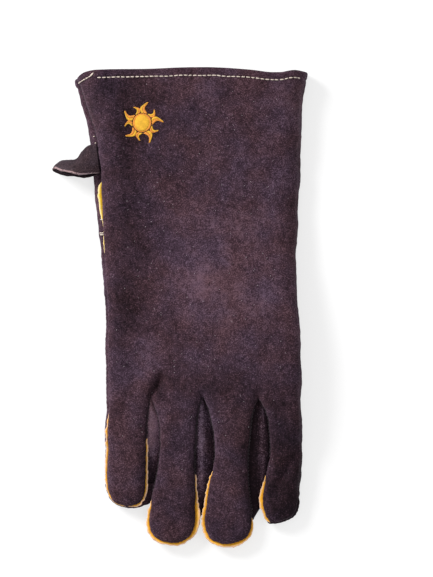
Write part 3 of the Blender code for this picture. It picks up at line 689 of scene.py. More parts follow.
def distance_to(points, skin, edges):
    """How far each point is from the nearest of some edges of the skin."""
    samples = [skin.points[a] * (1 - s) + skin.points[b] * s for a, b in edges for s in (0.0, 0.33, 0.67)]
    tree = KDTree(len(samples))
    for k, p in enumerate(samples):
        tree.insert(p, k)
    tree.balance()
    return np.array([tree.find(p)[2] for p in points])


# The leather's own lumps and the wrinkles across the fingers: length, height and seed of their places
LUMPS = ((0.034, 0.00042, 1), (0.013, 0.00022, 2), (0.0055, 0.00011, 3), (0.0026, 0.00005, 5))
WRINKLES = (0.016, 0.00020, 4)
# What the seams and the hem press into the leather: height, distance from the seam or from the
# cuff's edge, and half width
SEAM_GROOVE = (-0.00042, 0.0, 0.0009)
SEAM_ROLL = (0.00030, 0.0030, 0.0016)
SEAM_PUCKER = (0.00018, 0.0018, 0.0016)
HEM_GROOVE = (-0.00040, HEM_WIDTH, 0.0008)
HEM_PUCKER = (0.00014, HEM_WIDTH, 0.002)
HEM_SWELL = 0.00045
# Within this distance of a crotch the seam's groove has this share of its depth, so that no gap opens
CROTCH_GROOVE = 0.15
CROTCH_REACH = 0.002
# The relief fades out towards the floor below this height
FLAT_BELOW = 0.0015
# The same for painted light and shade in the colour by the seams: how much lighter, distance from the seam
# and half width. They are painted highlights and shade on the puckers, painted shade beside the seam and in
# its groove, and last painted shade on leather that faces right, while leather that faces left gets painted
# light instead.
PAINTED_PUCKER_LIGHT = (0.05, 0.0014, 0.0010)
PAINTED_ROLL_SHADE = (-0.02, 0.0014, 0.0010)
PAINTED_GROOVE_SHADE = (-0.12, 0.0, 0.0009)
PAINTED_SIDE_LIGHT = (-0.22, 0.0, 0.006)


def bump(distance, height, middle, half):
    """A smooth bump over distances, with its height at middle and about a third of it at half off middle."""
    return height * np.exp(-(((distance - middle) / half) ** 2))


def puckers(points):
    """The rise and fall of the leather from stitch to stitch of a seam, from -1 to 1."""
    return np.cos((points[:, 1] + 0.8 * points[:, 0]) * 2 * math.pi / STITCH_PITCH)


def add_relief(skin):
    """Presses the hem, the seams, their puckers and the leather's own lumps into the skin."""
    seams, rims = edge_table(skin)
    points, normals = skin.points, skin.normals
    from_seam = distance_to(points, skin, seams)
    from_rim = distance_to(points, skin, rims)
    move = sum(height * waves(points, length, seed) for length, height, seed in LUMPS)
    length, height, seed = WRINKLES
    on_fingers = smooth((0.012 - points[:, 1]) / 0.03)
    move += height * on_fingers * waves(points, length, seed, stretch=(0.5, 2.2, 1.0))
    from_crotch = np.min([np.hypot(points[:, 0] - x, points[:, 1]) for x, _, _ in crotches()], axis=0)
    depth = CROTCH_GROOVE + (1.0 - CROTCH_GROOVE) * smooth((from_crotch - CROTCH_REACH) / 0.008)
    move += depth * bump(from_seam, *SEAM_GROOVE)
    move += bump(from_seam, *SEAM_ROLL)
    move += puckers(points) * bump(from_seam, *SEAM_PUCKER)
    in_hem = 1 - smooth((from_rim - HEM_WIDTH + 0.001) / 0.0016)
    move += HEM_SWELL * np.clip(from_rim / 0.0012, 0, 1) * in_hem
    move += bump(from_rim, *HEM_GROOVE)
    move += np.cos(points[:, 0] * 2 * math.pi / STITCH_PITCH) * bump(from_rim, *HEM_PUCKER)
    move *= smooth(points[:, 2] / FLAT_BELOW)
    skin.points = points + normals * move[:, None]
    skin.points[:, 2] = np.maximum(skin.points[:, 2], 0.0)
    skin.find_normals()
    skin.from_seam, skin.from_rim = from_seam, from_rim


# Patches lighter or darker: partly nap of another tone, partly painted shade in dents and creases and
# painted light where the back is lit. Across and down the hand as in FOLDS, half lengths across and along in
# metres, and how much lighter.
NAP_TONE_AND_PAINTED_LIGHT = table(
    "across down  wide  tall  lighter",
    (0.58, 0.60, 0.040, 0.036, 0.14),
    (0.66, 0.38, 0.040, 0.036, 0.07),
    (0.72, 0.80, 0.032, 0.030, 0.09),
    (0.20, 0.90, 0.014, 0.024, 0.16),
    (0.60, 0.14, 0.040, 0.020, 0.04),
    (0.92, 0.14, 0.018, 0.050, 0.10),
    (-0.02, 0.07, 0.012, 0.014, -0.08),
    (0.48, 0.70, 0.030, 0.022, 0.09),
    (0.92, 0.70, 0.012, 0.040, 0.05),
    (0.62, 1.25, 0.010, 0.030, 0.06),
    (0.11, 1.19, 0.012, 0.030, 0.05),
    (0.14, 0.14, 0.014, 0.030, -0.20),
    (0.11, 0.34, 0.013, 0.040, -0.10),
    (0.20, 0.50, 0.016, 0.022, -0.09),
    (0.10, 0.74, 0.013, 0.040, -0.17),
    (0.09, 0.95, 0.016, 0.020, 0.04),
    (0.60, 0.82, 0.030, 0.020, -0.03),
    (0.33, 0.76, 0.018, 0.030, -0.05),
    (0.50, 0.97, 0.034, 0.012, -0.07),
    (0.95, 0.50, 0.008, 0.080, -0.05),
    (0.255, 0.965, 0.005, 0.009, -0.26),
    (0.90, 1.11, 0.014, 0.024, -0.19),
    (0.90, 1.31, 0.022, 0.022, -0.26),
    (0.98, 1.24, 0.007, 0.034, -0.10),
    (0.70, 1.15, 0.010, 0.040, -0.06),
    (0.22, 1.25, 0.008, 0.040, -0.07),
    (0.48, 1.32, 0.008, 0.040, -0.07),
    (0.07, 1.12, 0.012, 0.030, 0.05),
    (0.40, 1.08, 0.014, 0.022, 0.05),
    (0.62, 1.08, 0.014, 0.022, 0.05),
    (0.32, 1.30, 0.012, 0.020, 0.03),
    (0.57, 1.36, 0.012, 0.020, 0.03),
)
# A finer mottling of the nap: its length in metres and the seed of its places, and how strong it is
MOTTLING = ((0.030, 11), (0.012, 12), (0.005, 13))
MOTTLE = 0.030
# Painted light and shade on each strip between the fingers: how much lighter the whole strip is, and a
# painted
# highlight on a ridge along it: its place across in metres from the middle finger roots, its half width and
# how much lighter it is. The last two are how far down the fingers, in metres, the lightness starts and ends
# to fade into painted shade.
FOURCHETTE_PAINTED_LIGHT = table(
    "whole  place    half    ridge full   faded",
    (0.44, -0.0386, 0.0030, 0.18, 0.022, 0.062),
    (-0.06, -0.0026, 0.0027, 0.42, 0.050, 0.090),
    (-0.18, 0.0427, 0.0024, 0.46, 0.050, 0.090),
)
FOURCHETTE_PAINTED_END_SHADE = -0.10


def nap_tone_and_painted_light(points, normals, from_seam):
    """How light the suede is at each point, 1 being the plain colour: the nap's tone with painted light and
    shade.
    """
    shade = np.ones(len(points))
    # Patches of another nap tone, painted shade in dents and creases and painted light where the back is lit.
    for across, down, wide, tall, lighter in zip(*NAP_TONE_AND_PAINTED_LIGHT.values()):
        x, y = hand_place(across, down)
        shade += lighter * np.exp(-(((points[:, 0] - x) / wide) ** 2 + ((points[:, 1] - y) / tall) ** 2))
    for length, seed in MOTTLING:
        shade += MOTTLE * waves(points, length, seed)
    # Painted highlights and shade on the seams' puckers, painted shade in their grooves, and painted light on
    # leather facing left with painted shade on leather facing right.
    shade += puckers(points) * bump(from_seam, *PAINTED_PUCKER_LIGHT) + bump(from_seam, *PAINTED_ROLL_SHADE)
    shade += bump(from_seam, *PAINTED_GROOVE_SHADE) + normals[:, 0] * bump(from_seam, *PAINTED_SIDE_LIGHT)
    return shade


def fourchette_painted_light(number, points):
    """Painted light on a strip between fingers, as how much lighter it is than the plain nap, fading down the
    fingers into painted shade.
    """
    whole, place, half, ridge, full, faded = (column[number] for column in FOURCHETTE_PAINTED_LIGHT.values())
    fade = smooth((-points[:, 1] - full) / (faded - full))
    lighter = whole + bump(points[:, 0], ridge, place, half)
    return lighter * (1.0 - fade) + FOURCHETTE_PAINTED_END_SHADE * fade


def make_object(name, points, faces, material, slot, shade=None):
    """A piece of the glove, shifted into the frame and riding on the glove's one body."""
    mesh = bpy.data.meshes.new(name)
    mesh.from_pydata((np.asarray(points, float) + SHIFT).tolist(), [], [list(face) for face in faces])
    # Each point's tone, with any painted light and shade, is stored for the material to read.
    if shade is not None:
        layer = mesh.attributes.new("tone_and_painted_light", "FLOAT", "POINT")
        layer.data.foreach_set("value", np.asarray(shade, np.float32))
    mesh.validate()
    mesh.shade_smooth()
    mesh.materials.append(material)
    made = bpy.data.objects.new(name, mesh)
    bpy.context.scene.collection.objects.link(made)
    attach(made, "root")
    return made


def open_edges(faces):
    """Each open edge of a sheet of quads, with the number of its face."""
    edges = {(face[k], face[(k + 1) % 4]): f for f, face in enumerate(faces) for k in range(4)}
    return {edge: f for edge, f in edges.items() if edge[::-1] not in edges}


def shell(faces, rim, count):
    """Faces of a sheet, of its inner copy, whose points come count later, and of the rim between."""
    inner = [[point + count for point in face[::-1]] for face in faces]
    return [*faces, *inner, *([b, a, a + count, b + count] for a, b in rim)]


def wall_at(from_rim):
    """The folded hem along the cuff's edge is thicker than the rest of the leather."""
    return WALL + (HEM_WALL - WALL) * (1.0 - smooth((from_rim - HEM_WIDTH + 0.001) / 0.002))


def cut_panel(skin, name, material, slot):
    """The leather panel of one name: its skin, an inner skin a wall below it, and a rim round its seams."""
    faces = skin.faces[skin.names == name]
    used, local = np.unique(faces, return_inverse=True)
    local = local.reshape(faces.shape).tolist()
    rim = open_edges(local)
    points, normals, from_rim = skin.points[used], skin.normals[used], skin.from_rim[used]
    middles = skin.points[faces].mean(axis=1)
    inwards = np.zeros_like(points)
    for (a, b), face in rim.items():
        run = points[b] - points[a]
        run = run / max(np.linalg.norm(run), 1e-9)
        side = middles[face] - points[a]
        side = side - run * (side @ run)
        inwards[[a, b]] += side / np.linalg.norm(side)
    length = np.linalg.norm(inwards, axis=1)
    at_seam = (length > 0) & (from_rim > 1e-5)
    outer = points.copy()
    outer[at_seam] += inwards[at_seam] / length[at_seam][:, None] * SEAM_GAP
    inner = outer - normals * wall_at(from_rim)[:, None]
    # The nap's tone with painted light and shade, and more painted light and shade on the strips between the
    # fingers.
    shade = nap_tone_and_painted_light(points, normals, skin.from_seam[used])
    if name in FOURCHETTES:
        shade += fourchette_painted_light(FOURCHETTES.index(name), points)
    made = shell(local, rim, len(used))
    piece = make_object(name + "_suede", np.vstack([outer, inner]), made, material, slot, np.tile(shade, 2))
    piece.data.set_sharp_from_angle(angle=math.radians(60))
    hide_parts(name)


def unit(vectors):
    """Vectors, one to a row, with length 1."""
    return vectors / np.linalg.norm(vectors, axis=1)[:, None]


def path_lengths(points):
    """How far along a path each of its points is."""
    return np.concatenate([[0.0], np.cumsum(np.linalg.norm(np.diff(points, axis=0), axis=1))])


# A welt's section, from its root round its raw edge: how far out, as a share of its reach, and how
# far to the side, as a share of half its thickness. The other side mirrors it.
WELT_SIDE = ((-0.45, 0.95), (0.25, 1.0), (0.80, 0.92), (1.0, 0.45))
WELT_SECTION = (*WELT_SIDE, *((out, -side) for out, side in WELT_SIDE[::-1]))
# How ragged a welt's edge is, as lengths, heights and what is added to its seed, and how far in metres
# the edge wanders to either side and its fibres stray
RAGGED = ((0.0035, 0.00030, 0), (0.0012, 0.00016, 2))
WANDER = 0.00035
FRAY = 0.00005


def cut_welt(skin, ids, name, profile, seed, material):
    """A strip of raw-edged leather in the seam along a path of skin points, standing out as profile says."""
    points, out = skin.points[ids], skin.normals[ids]
    run = unit(np.gradient(points, axis=0))
    out = unit(out - run * np.sum(out * run, axis=1)[:, None])
    across = np.cross(run, out)
    along = path_lengths(points)
    reach = WELT_REACH * np.interp(along / along[-1], *profile)
    rng = np.random.default_rng(seed)
    ragged = sum(height * waves(points, length, seed + more) for length, height, more in RAGGED)
    wander = WANDER * waves(points, 0.011, seed + 1)
    rings = []
    for share, side in WELT_SECTION:
        raw = share > 0.5
        far = (reach + ragged * raw * smooth(reach / 0.001)) * share
        frayed = rng.normal(0, FRAY, len(ids)) * raw
        thick = side * WELT_THICKNESS / 2 + wander * max(share, 0.0) + frayed
        thick = thick * (0.35 + 0.65 * smooth(reach / 0.0015))
        rings.append(points + out * (far - 0.0002)[:, None] + across * thick[:, None])
    rings = np.stack(rings, axis=1)
    rings[..., 2] = np.maximum(rings[..., 2], 0.0001)
    n, last = len(WELT_SECTION), len(WELT_SECTION) * (len(ids) - 1)
    faces = []
    for k in range(0, last, n):
        faces += [[k + (s + 1) % n, k + s, k + n + s, k + n + (s + 1) % n] for s in range(n)]
    faces += [list(range(n)), [last + s for s in reversed(range(n))]]
    edge = np.tile([share for share, _ in WELT_SECTION], len(ids))
    piece = make_object(name + "_strip", rings.reshape(-1, 3), faces, material, "welt_leather", edge)
    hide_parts(name)


# A stitch is a round tube of this many sides and rings. Its ends are thinner by this share, and its
# middle line runs this share of its radius below the surface.
THREAD_SIDES = 6
THREAD_RINGS = 7
THREAD_TAPER = 0.28
THREAD_SINK = 0.6
# How much the stitches' ends stray along the seam and across it, and the range of their pitch
STRAY_ALONG = 0.00010
STRAY_ACROSS = 0.00006
PITCH_RANGE = (0.97, 1.03)


def thread_mesh(stitches, radius):
    """One mesh of short round stitches. Each is its two ends, an outward normal and how high it arches."""
    points, faces = [], []
    n = THREAD_SIDES
    for a, b, normal, arch in stitches:
        run = b - a
        length = np.linalg.norm(run)
        run = run / length
        normal = normal - run * (normal @ run)
        normal /= np.linalg.norm(normal)
        across = np.cross(run, normal)
        start = len(points)
        for s in np.linspace(0.0, 1.0, THREAD_RINGS):
            middle = a + run * length * s + normal * (arch * (1 - (2 * s - 1) ** 4) - radius * THREAD_SINK)
            thick = radius * (1 - THREAD_TAPER + THREAD_TAPER * math.sin(math.pi * s) ** 0.5)
            for k in range(n):
                turn = 2 * math.pi * k / n
                points.append(middle + (normal * math.cos(turn) + across * math.sin(turn)) * thick)
        last = len(points) - n
        for at in range(start, last, n):
            faces += [[at + k, at + (k + 1) % n, at + n + (k + 1) % n, at + n + k] for k in range(n)]
        faces += [[start + k for k in reversed(range(n))], [last + k for k in range(n)]]
    return points, faces


def thread_piece(name, stitches, radius, material, slot="back_suede"):
    """Stitches as one piece."""
    make_object(name, *thread_mesh(stitches, radius), material, slot)


def stitch_line(points, normals, pitch, length, lift, arch=0.00035):
    """Stitches at an even pitch along a path of surface points, lifted off it."""
    along = path_lengths(points)
    rng = np.random.default_rng(round(along[-1] * 1e6))

    def place(s):
        p = np.array([np.interp(s, along, points[:, k]) for k in range(3)])
        n = np.array([np.interp(s, along, normals[:, k]) for k in range(3)])
        return p, n / np.linalg.norm(n)

    found = []
    s = 0.0
    while s + length < along[-1]:
        stray = rng.normal(0, STRAY_ALONG, 2)
        (a, na), (b, nb) = place(s + stray[0]), place(s + length + stray[1])
        side = np.cross(b - a, na + nb)
        tilt = side / np.linalg.norm(side) * rng.normal(0, STRAY_ACROSS)
        found.append((a + na * lift - tilt, b + nb * lift + tilt, na + nb, arch))
        s += pitch * rng.uniform(*PITCH_RANGE)
    return found


class Surface:
    """A panel's upper or lower skin, for finding its height and normal at places in plan."""

    def __init__(self, skin, name, upward):
        used = np.unique(skin.faces[skin.names == name])
        rise = skin.normals[used, 2]
        ids = used[rise > 0.15 if upward else rise < -0.15]
        self.skin = skin
        self.tree = KDTree(len(ids))
        for i in ids.tolist():
            self.tree.insert((*skin.points[i, :2], 0.0), i)
        self.tree.balance()

    def follow(self, path):
        """Points and normals of the surface along a path in plan, each from its five nearest points."""
        points, normals = [], []
        for x, y in path:
            near = self.tree.find_n((x, y, 0.0), 5)
            weights = np.array([1.0 / (distance + 1e-5) ** 2 for _, _, distance in near])
            weights /= weights.sum()
            ids = [i for _, i, _ in near]
            points.append((x, y, float(weights @ self.skin.points[ids, 2])))
            normals.append(weights @ self.skin.normals[ids])
        return np.array(points), unit(np.array(normals))


# Materials


class Material:
    """A node material, made of noises and sums that are read in the piece's own coordinates."""

    def __init__(self, name):
        self.made = bpy.data.materials.new(name)
        self.made.use_nodes = True
        self.tree = self.made.node_tree
        self.shader = self.tree.nodes["Principled BSDF"]

    def give(self, socket, value):
        """Links another node's output to a socket, or sets the socket to a value."""
        if isinstance(value, bpy.types.NodeSocket):
            self.tree.links.new(value, socket)
        else:
            socket.default_value = value

    def node(self, kind, *inputs, **values):
        """A new node, given its first inputs by place, and its other inputs and settings by name."""
        node = self.tree.nodes.new(kind)
        for socket, value in zip(node.inputs, inputs):
            self.give(socket, value)
        for key, value in values.items():
            if key in node.inputs:
                self.give(node.inputs[key], value)
            else:
                setattr(node, key, value)
        return node

    def place(self):
        """The piece's own coordinates."""
        return self.node("ShaderNodeTexCoord").outputs["Object"]

    def noise(self, scale, detail, roughness=0.5, at=None):
        """A noise between 0 and 1, in the piece's coordinates unless others are given."""
        values = {"Vector": at or self.place(), "Scale": scale, "Detail": detail, "Roughness": roughness}
        return self.node("ShaderNodeTexNoise", **values).outputs["Fac"]

    def tone_and_painted_light(self):
        """The tone, with any painted light and shade, that make_object stored for each point."""
        return self.node("ShaderNodeAttribute", attribute_name="tone_and_painted_light").outputs["Fac"]

    def add(self, socket, times, other):
        """A socket times a number, plus a number or another socket."""
        return self.node("ShaderNodeMath", socket, times, other, operation="MULTIPLY_ADD").outputs[0]

    def power(self, socket, exponent):
        """A socket to a power."""
        return self.node("ShaderNodeMath", socket, exponent, operation="POWER").outputs[0]

    def ramp(self, factor, *stops):
        """A colour that runs through (place, colour) stops."""
        node = self.node("ShaderNodeValToRGB", factor)
        elements = node.color_ramp.elements
        while len(elements) < len(stops):
            elements.new(0.5)
        for element, (place, colour) in zip(elements, stops):
            element.position = place
            element.color = (*colour, 1.0)
        return node.outputs["Color"]

    def finish(self, roughness, specular, **values):
        """Sets the shader's own sockets. An underscore in a name stands for a space."""
        values.update({"Roughness": roughness, "Specular IOR Level": specular})
        for key, value in values.items():
            self.give(self.shader.inputs[key.replace("_", " ")], value)
        return self.made

    def relief(self, height, strength, distance):
        """The normal of a surface with fine relief."""
        values = {"Strength": strength, "Distance": distance, "Height": height}
        return self.node("ShaderNodeBump", **values).outputs["Normal"]


# The nap's value where a suede reaches its brightest colour, and what is taken off the sum of the
# textures so that the plain nap lies at about 0.5
NAP_SPAN = 1.6
NAP_OFFSET = -2.11


def suede(name, dark, plain, light, bright):
    """Split suede: blotchy nap brushed in patches, a grain of fibres, a pale sheen, and the stored tone with
    its painted light and shade.
    """
    made = Material(name)
    grain = made.noise(380.0, 4.0, 0.65)
    fibre = made.noise(1250.0, 2.0, 0.60)
    brushed = made.node("ShaderNodeMapping", made.place(), Scale=(2.4, 0.55, 1.0), Rotation=(0.0, 0.0, 0.5))
    value = made.add(made.noise(55.0, 4.0, 0.62), 0.35, NAP_OFFSET)
    value = made.add(grain, 0.76, value)
    value = made.add(made.power(fibre, 3.0), 2.4, value)
    value = made.add(made.noise(170.0, 3.0, 0.6, brushed.outputs["Vector"]), 0.35, value)
    # The stored tone, with its painted light and shade, moves the colour along the ramp.
    value = made.add(made.tone_and_painted_light(), 1.5, value)
    stops = ((0.0, dark), (0.5 / NAP_SPAN, plain), (1.0 / NAP_SPAN, light), (1.0, bright))
    colour = made.ramp(made.add(value, 1.0 / NAP_SPAN, 0.0), *stops)
    dye = made.ramp(made.noise(34.0, 3.0, 0.6), (0.36, (1.08, 0.98, 0.89)), (0.64, (0.94, 1.01, 1.10)))
    tinted = made.node("ShaderNodeVectorMath", colour, dye, operation="MULTIPLY")
    return made.finish(
        0.95,
        0.12,
        Base_Color=tinted.outputs["Vector"],
        Sheen_Weight=0.16,
        Sheen_Roughness=0.40,
        Sheen_Tint=(0.62, 0.50, 0.60, 1.0),
        Normal=made.relief(made.add(fibre, 0.8, grain), 0.9, 0.0005),
    )


def welt_leather(name, deep, body, bright, raw):
    """Yellow split leather with a pale, fuzzy raw edge."""
    made = Material(name)
    fuzz = made.noise(900.0, 4.0, 0.7)
    value = made.add(fuzz, 0.9, made.tone_and_painted_light())
    value = made.add(made.noise(160.0, 3.0, 0.6), 0.6, value)
    colour = made.ramp(made.add(value, 0.5, 0.0), (0.22, deep), (0.50, body), (0.68, bright), (0.84, raw))
    normal = made.relief(fuzz, 0.8, 0.0003)
    return made.finish(0.85, 0.2, Base_Color=colour, Sheen_Weight=0.2, Normal=normal)


def thread(name, colour, sheen=0.15):
    """Sewing thread: fine fuzz and duller patches over one colour."""
    made = Material(name)
    fuzz = made.noise(2500.0, 2.0)
    value = made.add(made.add(fuzz, 1.0, made.noise(300.0, 2.0)), 0.5, 0.0)
    shades = made.ramp(value, (0.30, tuple(part * 0.62 for part in colour)), (0.70, colour))
    normal = made.relief(fuzz, 0.5, 0.0002)
    return made.finish(0.62, 0.3, Base_Color=shades, Sheen_Weight=sheen, Normal=normal)


SUEDE_DARK = (0.0085, 0.0040, 0.0062)
SUEDE_LIGHT = (0.135, 0.078, 0.108)
SUEDE_BRIGHT = (0.150, 0.088, 0.120)
BACK_MATERIAL = suede("back_suede", SUEDE_DARK, (0.0445, 0.0228, 0.0338), SUEDE_LIGHT, SUEDE_BRIGHT)
PALM_MATERIAL = suede("palm_suede", SUEDE_DARK, (0.047, 0.0240, 0.0355), SUEDE_LIGHT, SUEDE_BRIGHT)
# The strips' suede has brighter upper stops, so that their painted light keeps its grain.
FOURCHETTE_PAINTED_LIGHT_MATERIAL = suede(
    "fourchette_suede", SUEDE_DARK, (0.0445, 0.0235, 0.0345), (0.20, 0.125, 0.165), (0.42, 0.28, 0.36)
)
LOOP_MATERIAL = suede(
    "loop_suede", SUEDE_DARK, (0.034, 0.0205, 0.0245), (0.085, 0.052, 0.060), (0.46, 0.34, 0.37)
)
WELT_MATERIAL = welt_leather(
    "welt_leather", (0.45, 0.13, 0.008), (0.90, 0.37, 0.014), (0.96, 0.50, 0.05), (0.86, 0.54, 0.36)
)
SIDE_WELT_MATERIAL = welt_leather(
    "side_welt_leather", (0.60, 0.26, 0.01), (0.93, 0.52, 0.02), (0.97, 0.69, 0.05), (0.93, 0.72, 0.36)
)
CREAM_THREAD = thread("cream_thread", (0.78, 0.66, 0.56))
DARK_THREAD = thread("dark_thread", (0.030, 0.018, 0.024))
GOLD_THREAD = thread("gold_thread", (0.90, 0.50, 0.030), 0.2)
AMBER_THREAD = thread("amber_thread", (0.86, 0.33, 0.040), 0.2)
LINT_MATERIAL = thread("lint_fibre", (0.72, 0.64, 0.68))


# The glove: its skin, where it goes in the frame, and the outline as the numbers of the skin's points

SKIN, OUTLINE, MARKS = build_skin()
OUTLINE_IDS = [SKIN.point(p) for p in OUTLINE.tolist()]
BACK_LOW, BACK_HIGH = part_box("back_panel")
BACK_POINTS = SKIN.points[np.unique(SKIN.faces[SKIN.names == "back_panel"])]
BACK_MIDDLE = (BACK_POINTS[:, 0].min() + BACK_POINTS[:, 0].max()) / 2
SHIFT = np.array([(BACK_LOW.x + BACK_HIGH.x) / 2 - BACK_MIDDLE, BACK_HIGH.y - BACK_POINTS[:, 1].max(), 0.0])
SIDE_SEAM = [k for k, mark in enumerate(MARKS) if mark[0] == "left"]
add_relief(SKIN)

cut_panel(SKIN, "back_panel", BACK_MATERIAL, "back_suede")
cut_panel(SKIN, "palm_panel", PALM_MATERIAL, "palm_suede")
cut_panel(SKIN, "thumb", PALM_MATERIAL, "palm_suede")
for panel in FOURCHETTES:
    cut_panel(SKIN, panel, FOURCHETTE_PAINTED_LIGHT_MATERIAL, "fourchette_suede")


# Each fingertip's welt: the finger's number, where the welt starts and ends as shares of the
# finger's length on its first and second side, and then its profile, as places along its path and
# how far it stands out there, in shares of the path and of WELT_REACH.
WELTS = {
    "welt_little": (
        (0, 0.14, 0.37),
        (0.0, 0.10, 0.35, 0.50, 0.58, 0.64, 0.75, 0.97, 1.0),
        (0.1, 0.60, 0.62, 0.30, 0.20, 0.80, 0.75, 0.62, 0.4),
    ),
    "welt_ring": (
        (1, 0.69, 0.53),
        (0.0, 0.08, 0.22, 0.40, 0.52, 0.62, 0.74, 0.86, 1.0),
        (0.0, 0.65, 0.90, 0.80, 0.85, 1.25, 1.40, 0.60, 0.35),
    ),
    "welt_middle": (
        (2, 0.50, 0.81),
        (0.0, 0.10, 0.34, 0.48, 0.62, 0.76, 0.90, 1.0),
        (0.2, 0.55, 0.90, 0.90, 0.95, 1.10, 0.75, 0.1),
    ),
    "welt_index": (
        (3, 0.63, 1.00),
        (0.0, 0.15, 0.45, 0.80, 0.94, 1.0),
        (0.2, 0.70, 1.10, 0.80, 0.50, 0.0),
    ),
}
# The side welt's profile, and where it starts below the loop, in loop widths, and ends down the hand
SIDE_WELT = (
    (0.0, 0.05, 0.20, 0.36, 0.50, 0.58, 0.66, 0.74, 0.90, 1.0),
    (0.1, 0.75, 1.15, 0.95, 0.55, 0.18, 0.0, 0.22, 0.26, 0.1),
)
SIDE_WELT_START = 1.25
SIDE_WELT_END = 0.56


def outline_stretch(number, first, second):
    """The outline's points round a fingertip, between shares of the finger's length on its two sides."""
    length = FINGERS[number][1]
    sides = [("first", number), ("tip", number), ("second", number)]
    own = [k for k, mark in enumerate(MARKS) if mark in sides]
    lowest = min(own, key=lambda k: OUTLINE[k][1])
    start = min((k for k in own if k <= lowest), key=lambda k: abs(OUTLINE[k][1] + first * length))
    end = min((k for k in own if k >= lowest), key=lambda k: abs(OUTLINE[k][1] + second * length))
    return OUTLINE_IDS[start : end + 1]


def side_stretch(first, last):
    """The outline's points on the side seam between two shares down the hand."""
    return [OUTLINE_IDS[k] for k in SIDE_SEAM if first <= 1 - OUTLINE[k][1] / HAND_LENGTH <= last]


for seed, (welt, (stretch, shares, reach)) in enumerate(WELTS.items()):
    cut_welt(SKIN, outline_stretch(*stretch), welt, (shares, reach), 31 + 4 * seed, WELT_MATERIAL)
side_welt_ids = side_stretch(LOOP_DOWN + SIDE_WELT_START * LOOP_WIDTH / HAND_LENGTH, SIDE_WELT_END)
cut_welt(SKIN, side_welt_ids, "welt_side", SIDE_WELT, 51, SIDE_WELT_MATERIAL)


# How finely the loop is divided, its gap to the seam, its lumps, as their length, height and seed, the
# rows over which they fade at its ends, and where the upper strand passes into the lower one, as the
# share round the loop where that starts and how long it lasts
LOOP_ROWS = 130
LOOP_GAP = 0.0005
LOOP_LUMPS = ((0.012, 0.00035, 51), (0.004, 0.00012, 52))
LOOP_END_ROWS = 14
LOOP_TURN = (0.42, 0.12)


def loop_sheet():
    """The middle of the loop's band as a grid of points: rows round the loop, columns across it."""
    seam = OUTLINE[SIDE_SEAM]
    rows = np.arange(len(LOOP_BAND["out"]), dtype=float)
    key = {**LOOP_BAND, "row": rows}
    across = np.concatenate([[0.0, 0.03, 0.06], np.linspace(0.12, 0.88, 11), [0.94, 0.97, 1.0]])
    grid = []
    for at in np.linspace(0.0, rows[-1], LOOP_ROWS):
        value = {name: float(read(key, name, at, "row")) for name in LOOP_BAND}
        ends = []
        for edge in ("low", "high"):
            y = HAND_LENGTH * (1 - LOOP_DOWN) - value[edge + "_along"] * LOOP_WIDTH
            x, seam_z = (np.interp(-y, -seam[:, 1], seam[:, k]) for k in (0, 2))
            x -= LOOP_GAP + value["out"] * LOOP_REACH
            ends.append(np.array([x, y, value[edge + "_height"] * LOOP_WIDTH + value["sewn"] * seam_z]))
        grid.append(ends[0] + (ends[1] - ends[0]) * across[:, None])
    return np.array(grid)


def hanging_loop():
    """The folded band in the side seam, with raw pale edges and painted shade on the lower strand."""
    grid = loop_sheet()
    rows, columns = grid.shape[:2]
    count = rows * columns
    normal = np.cross(np.gradient(grid, axis=0), np.gradient(grid, axis=1))
    normal /= np.linalg.norm(normal, axis=2)[..., None]
    flat = grid.reshape(-1, 3)
    lumps = sum(height * waves(flat, length, seed) for length, height, seed in LOOP_LUMPS)
    row = np.arange(rows)[:, None]
    free = smooth(np.minimum(row, row[::-1]) / LOOP_END_ROWS)
    grid = grid + normal * (lumps.reshape(rows, columns) * free)[..., None]
    half = normal * LOOP_THICKNESS / 2
    points = np.vstack([(grid + half).reshape(-1, 3), (grid - half).reshape(-1, 3)])
    starts = [r * columns + c for r in range(rows - 1) for c in range(columns - 1)]
    quads = [[a, a + columns, a + columns + 1, a + 1] for a in starts]
    shade = 1.0 + 0.05 * waves(flat, 0.01, 53).reshape(rows, columns)
    upper_strand = 1.0 - smooth((row / rows - LOOP_TURN[0]) / LOOP_TURN[1])
    # The raw edges are paler, the upper strand's outer edge most. The lower strand, under the upper one, gets
    # painted shade, which also keeps its raw edge dark.
    shade[:, :1] += 0.10
    shade[:, -1:] += 0.08 + 0.60 * upper_strand
    shade -= 0.30 * (1.0 - upper_strand)
    # The way that an edge runs sets along which diagonal its face in the rim is split
    rim = [(b, a) if abs(b - a) == columns else (a, b) for a, b in open_edges(quads)]
    faces = shell(quads, rim, count)
    shade = np.tile(shade.ravel(), 2)
    piece = make_object("hanging_loop_band", points, faces, LOOP_MATERIAL, "loop_suede", shade)
    fix = bmesh.new()
    fix.from_mesh(piece.data)
    bmesh.ops.recalc_face_normals(fix, faces=fix.faces)
    fix.to_mesh(piece.data)
    fix.free()
    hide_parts("hanging_loop")


hanging_loop()

# Stitching

BACK_TOP = Surface(SKIN, "back_panel", True)
PALM_UNDER = Surface(SKIN, "palm_panel", False)
PALM_SIDE = Surface(SKIN, "palm_panel", True)


# The hem's stitches: the shares across the cuff where they start and end, how far down the hand they
# run, how much of the cuff's wave is left there, and how much the row wanders
HEM_ENDS = {"back": (0.080, 0.985), "palm": (0.05, 0.90)}
HEM_DOWN = 0.03
HEM_WAVE_LEFT = 0.9
HEM_WANDER = 0.00035


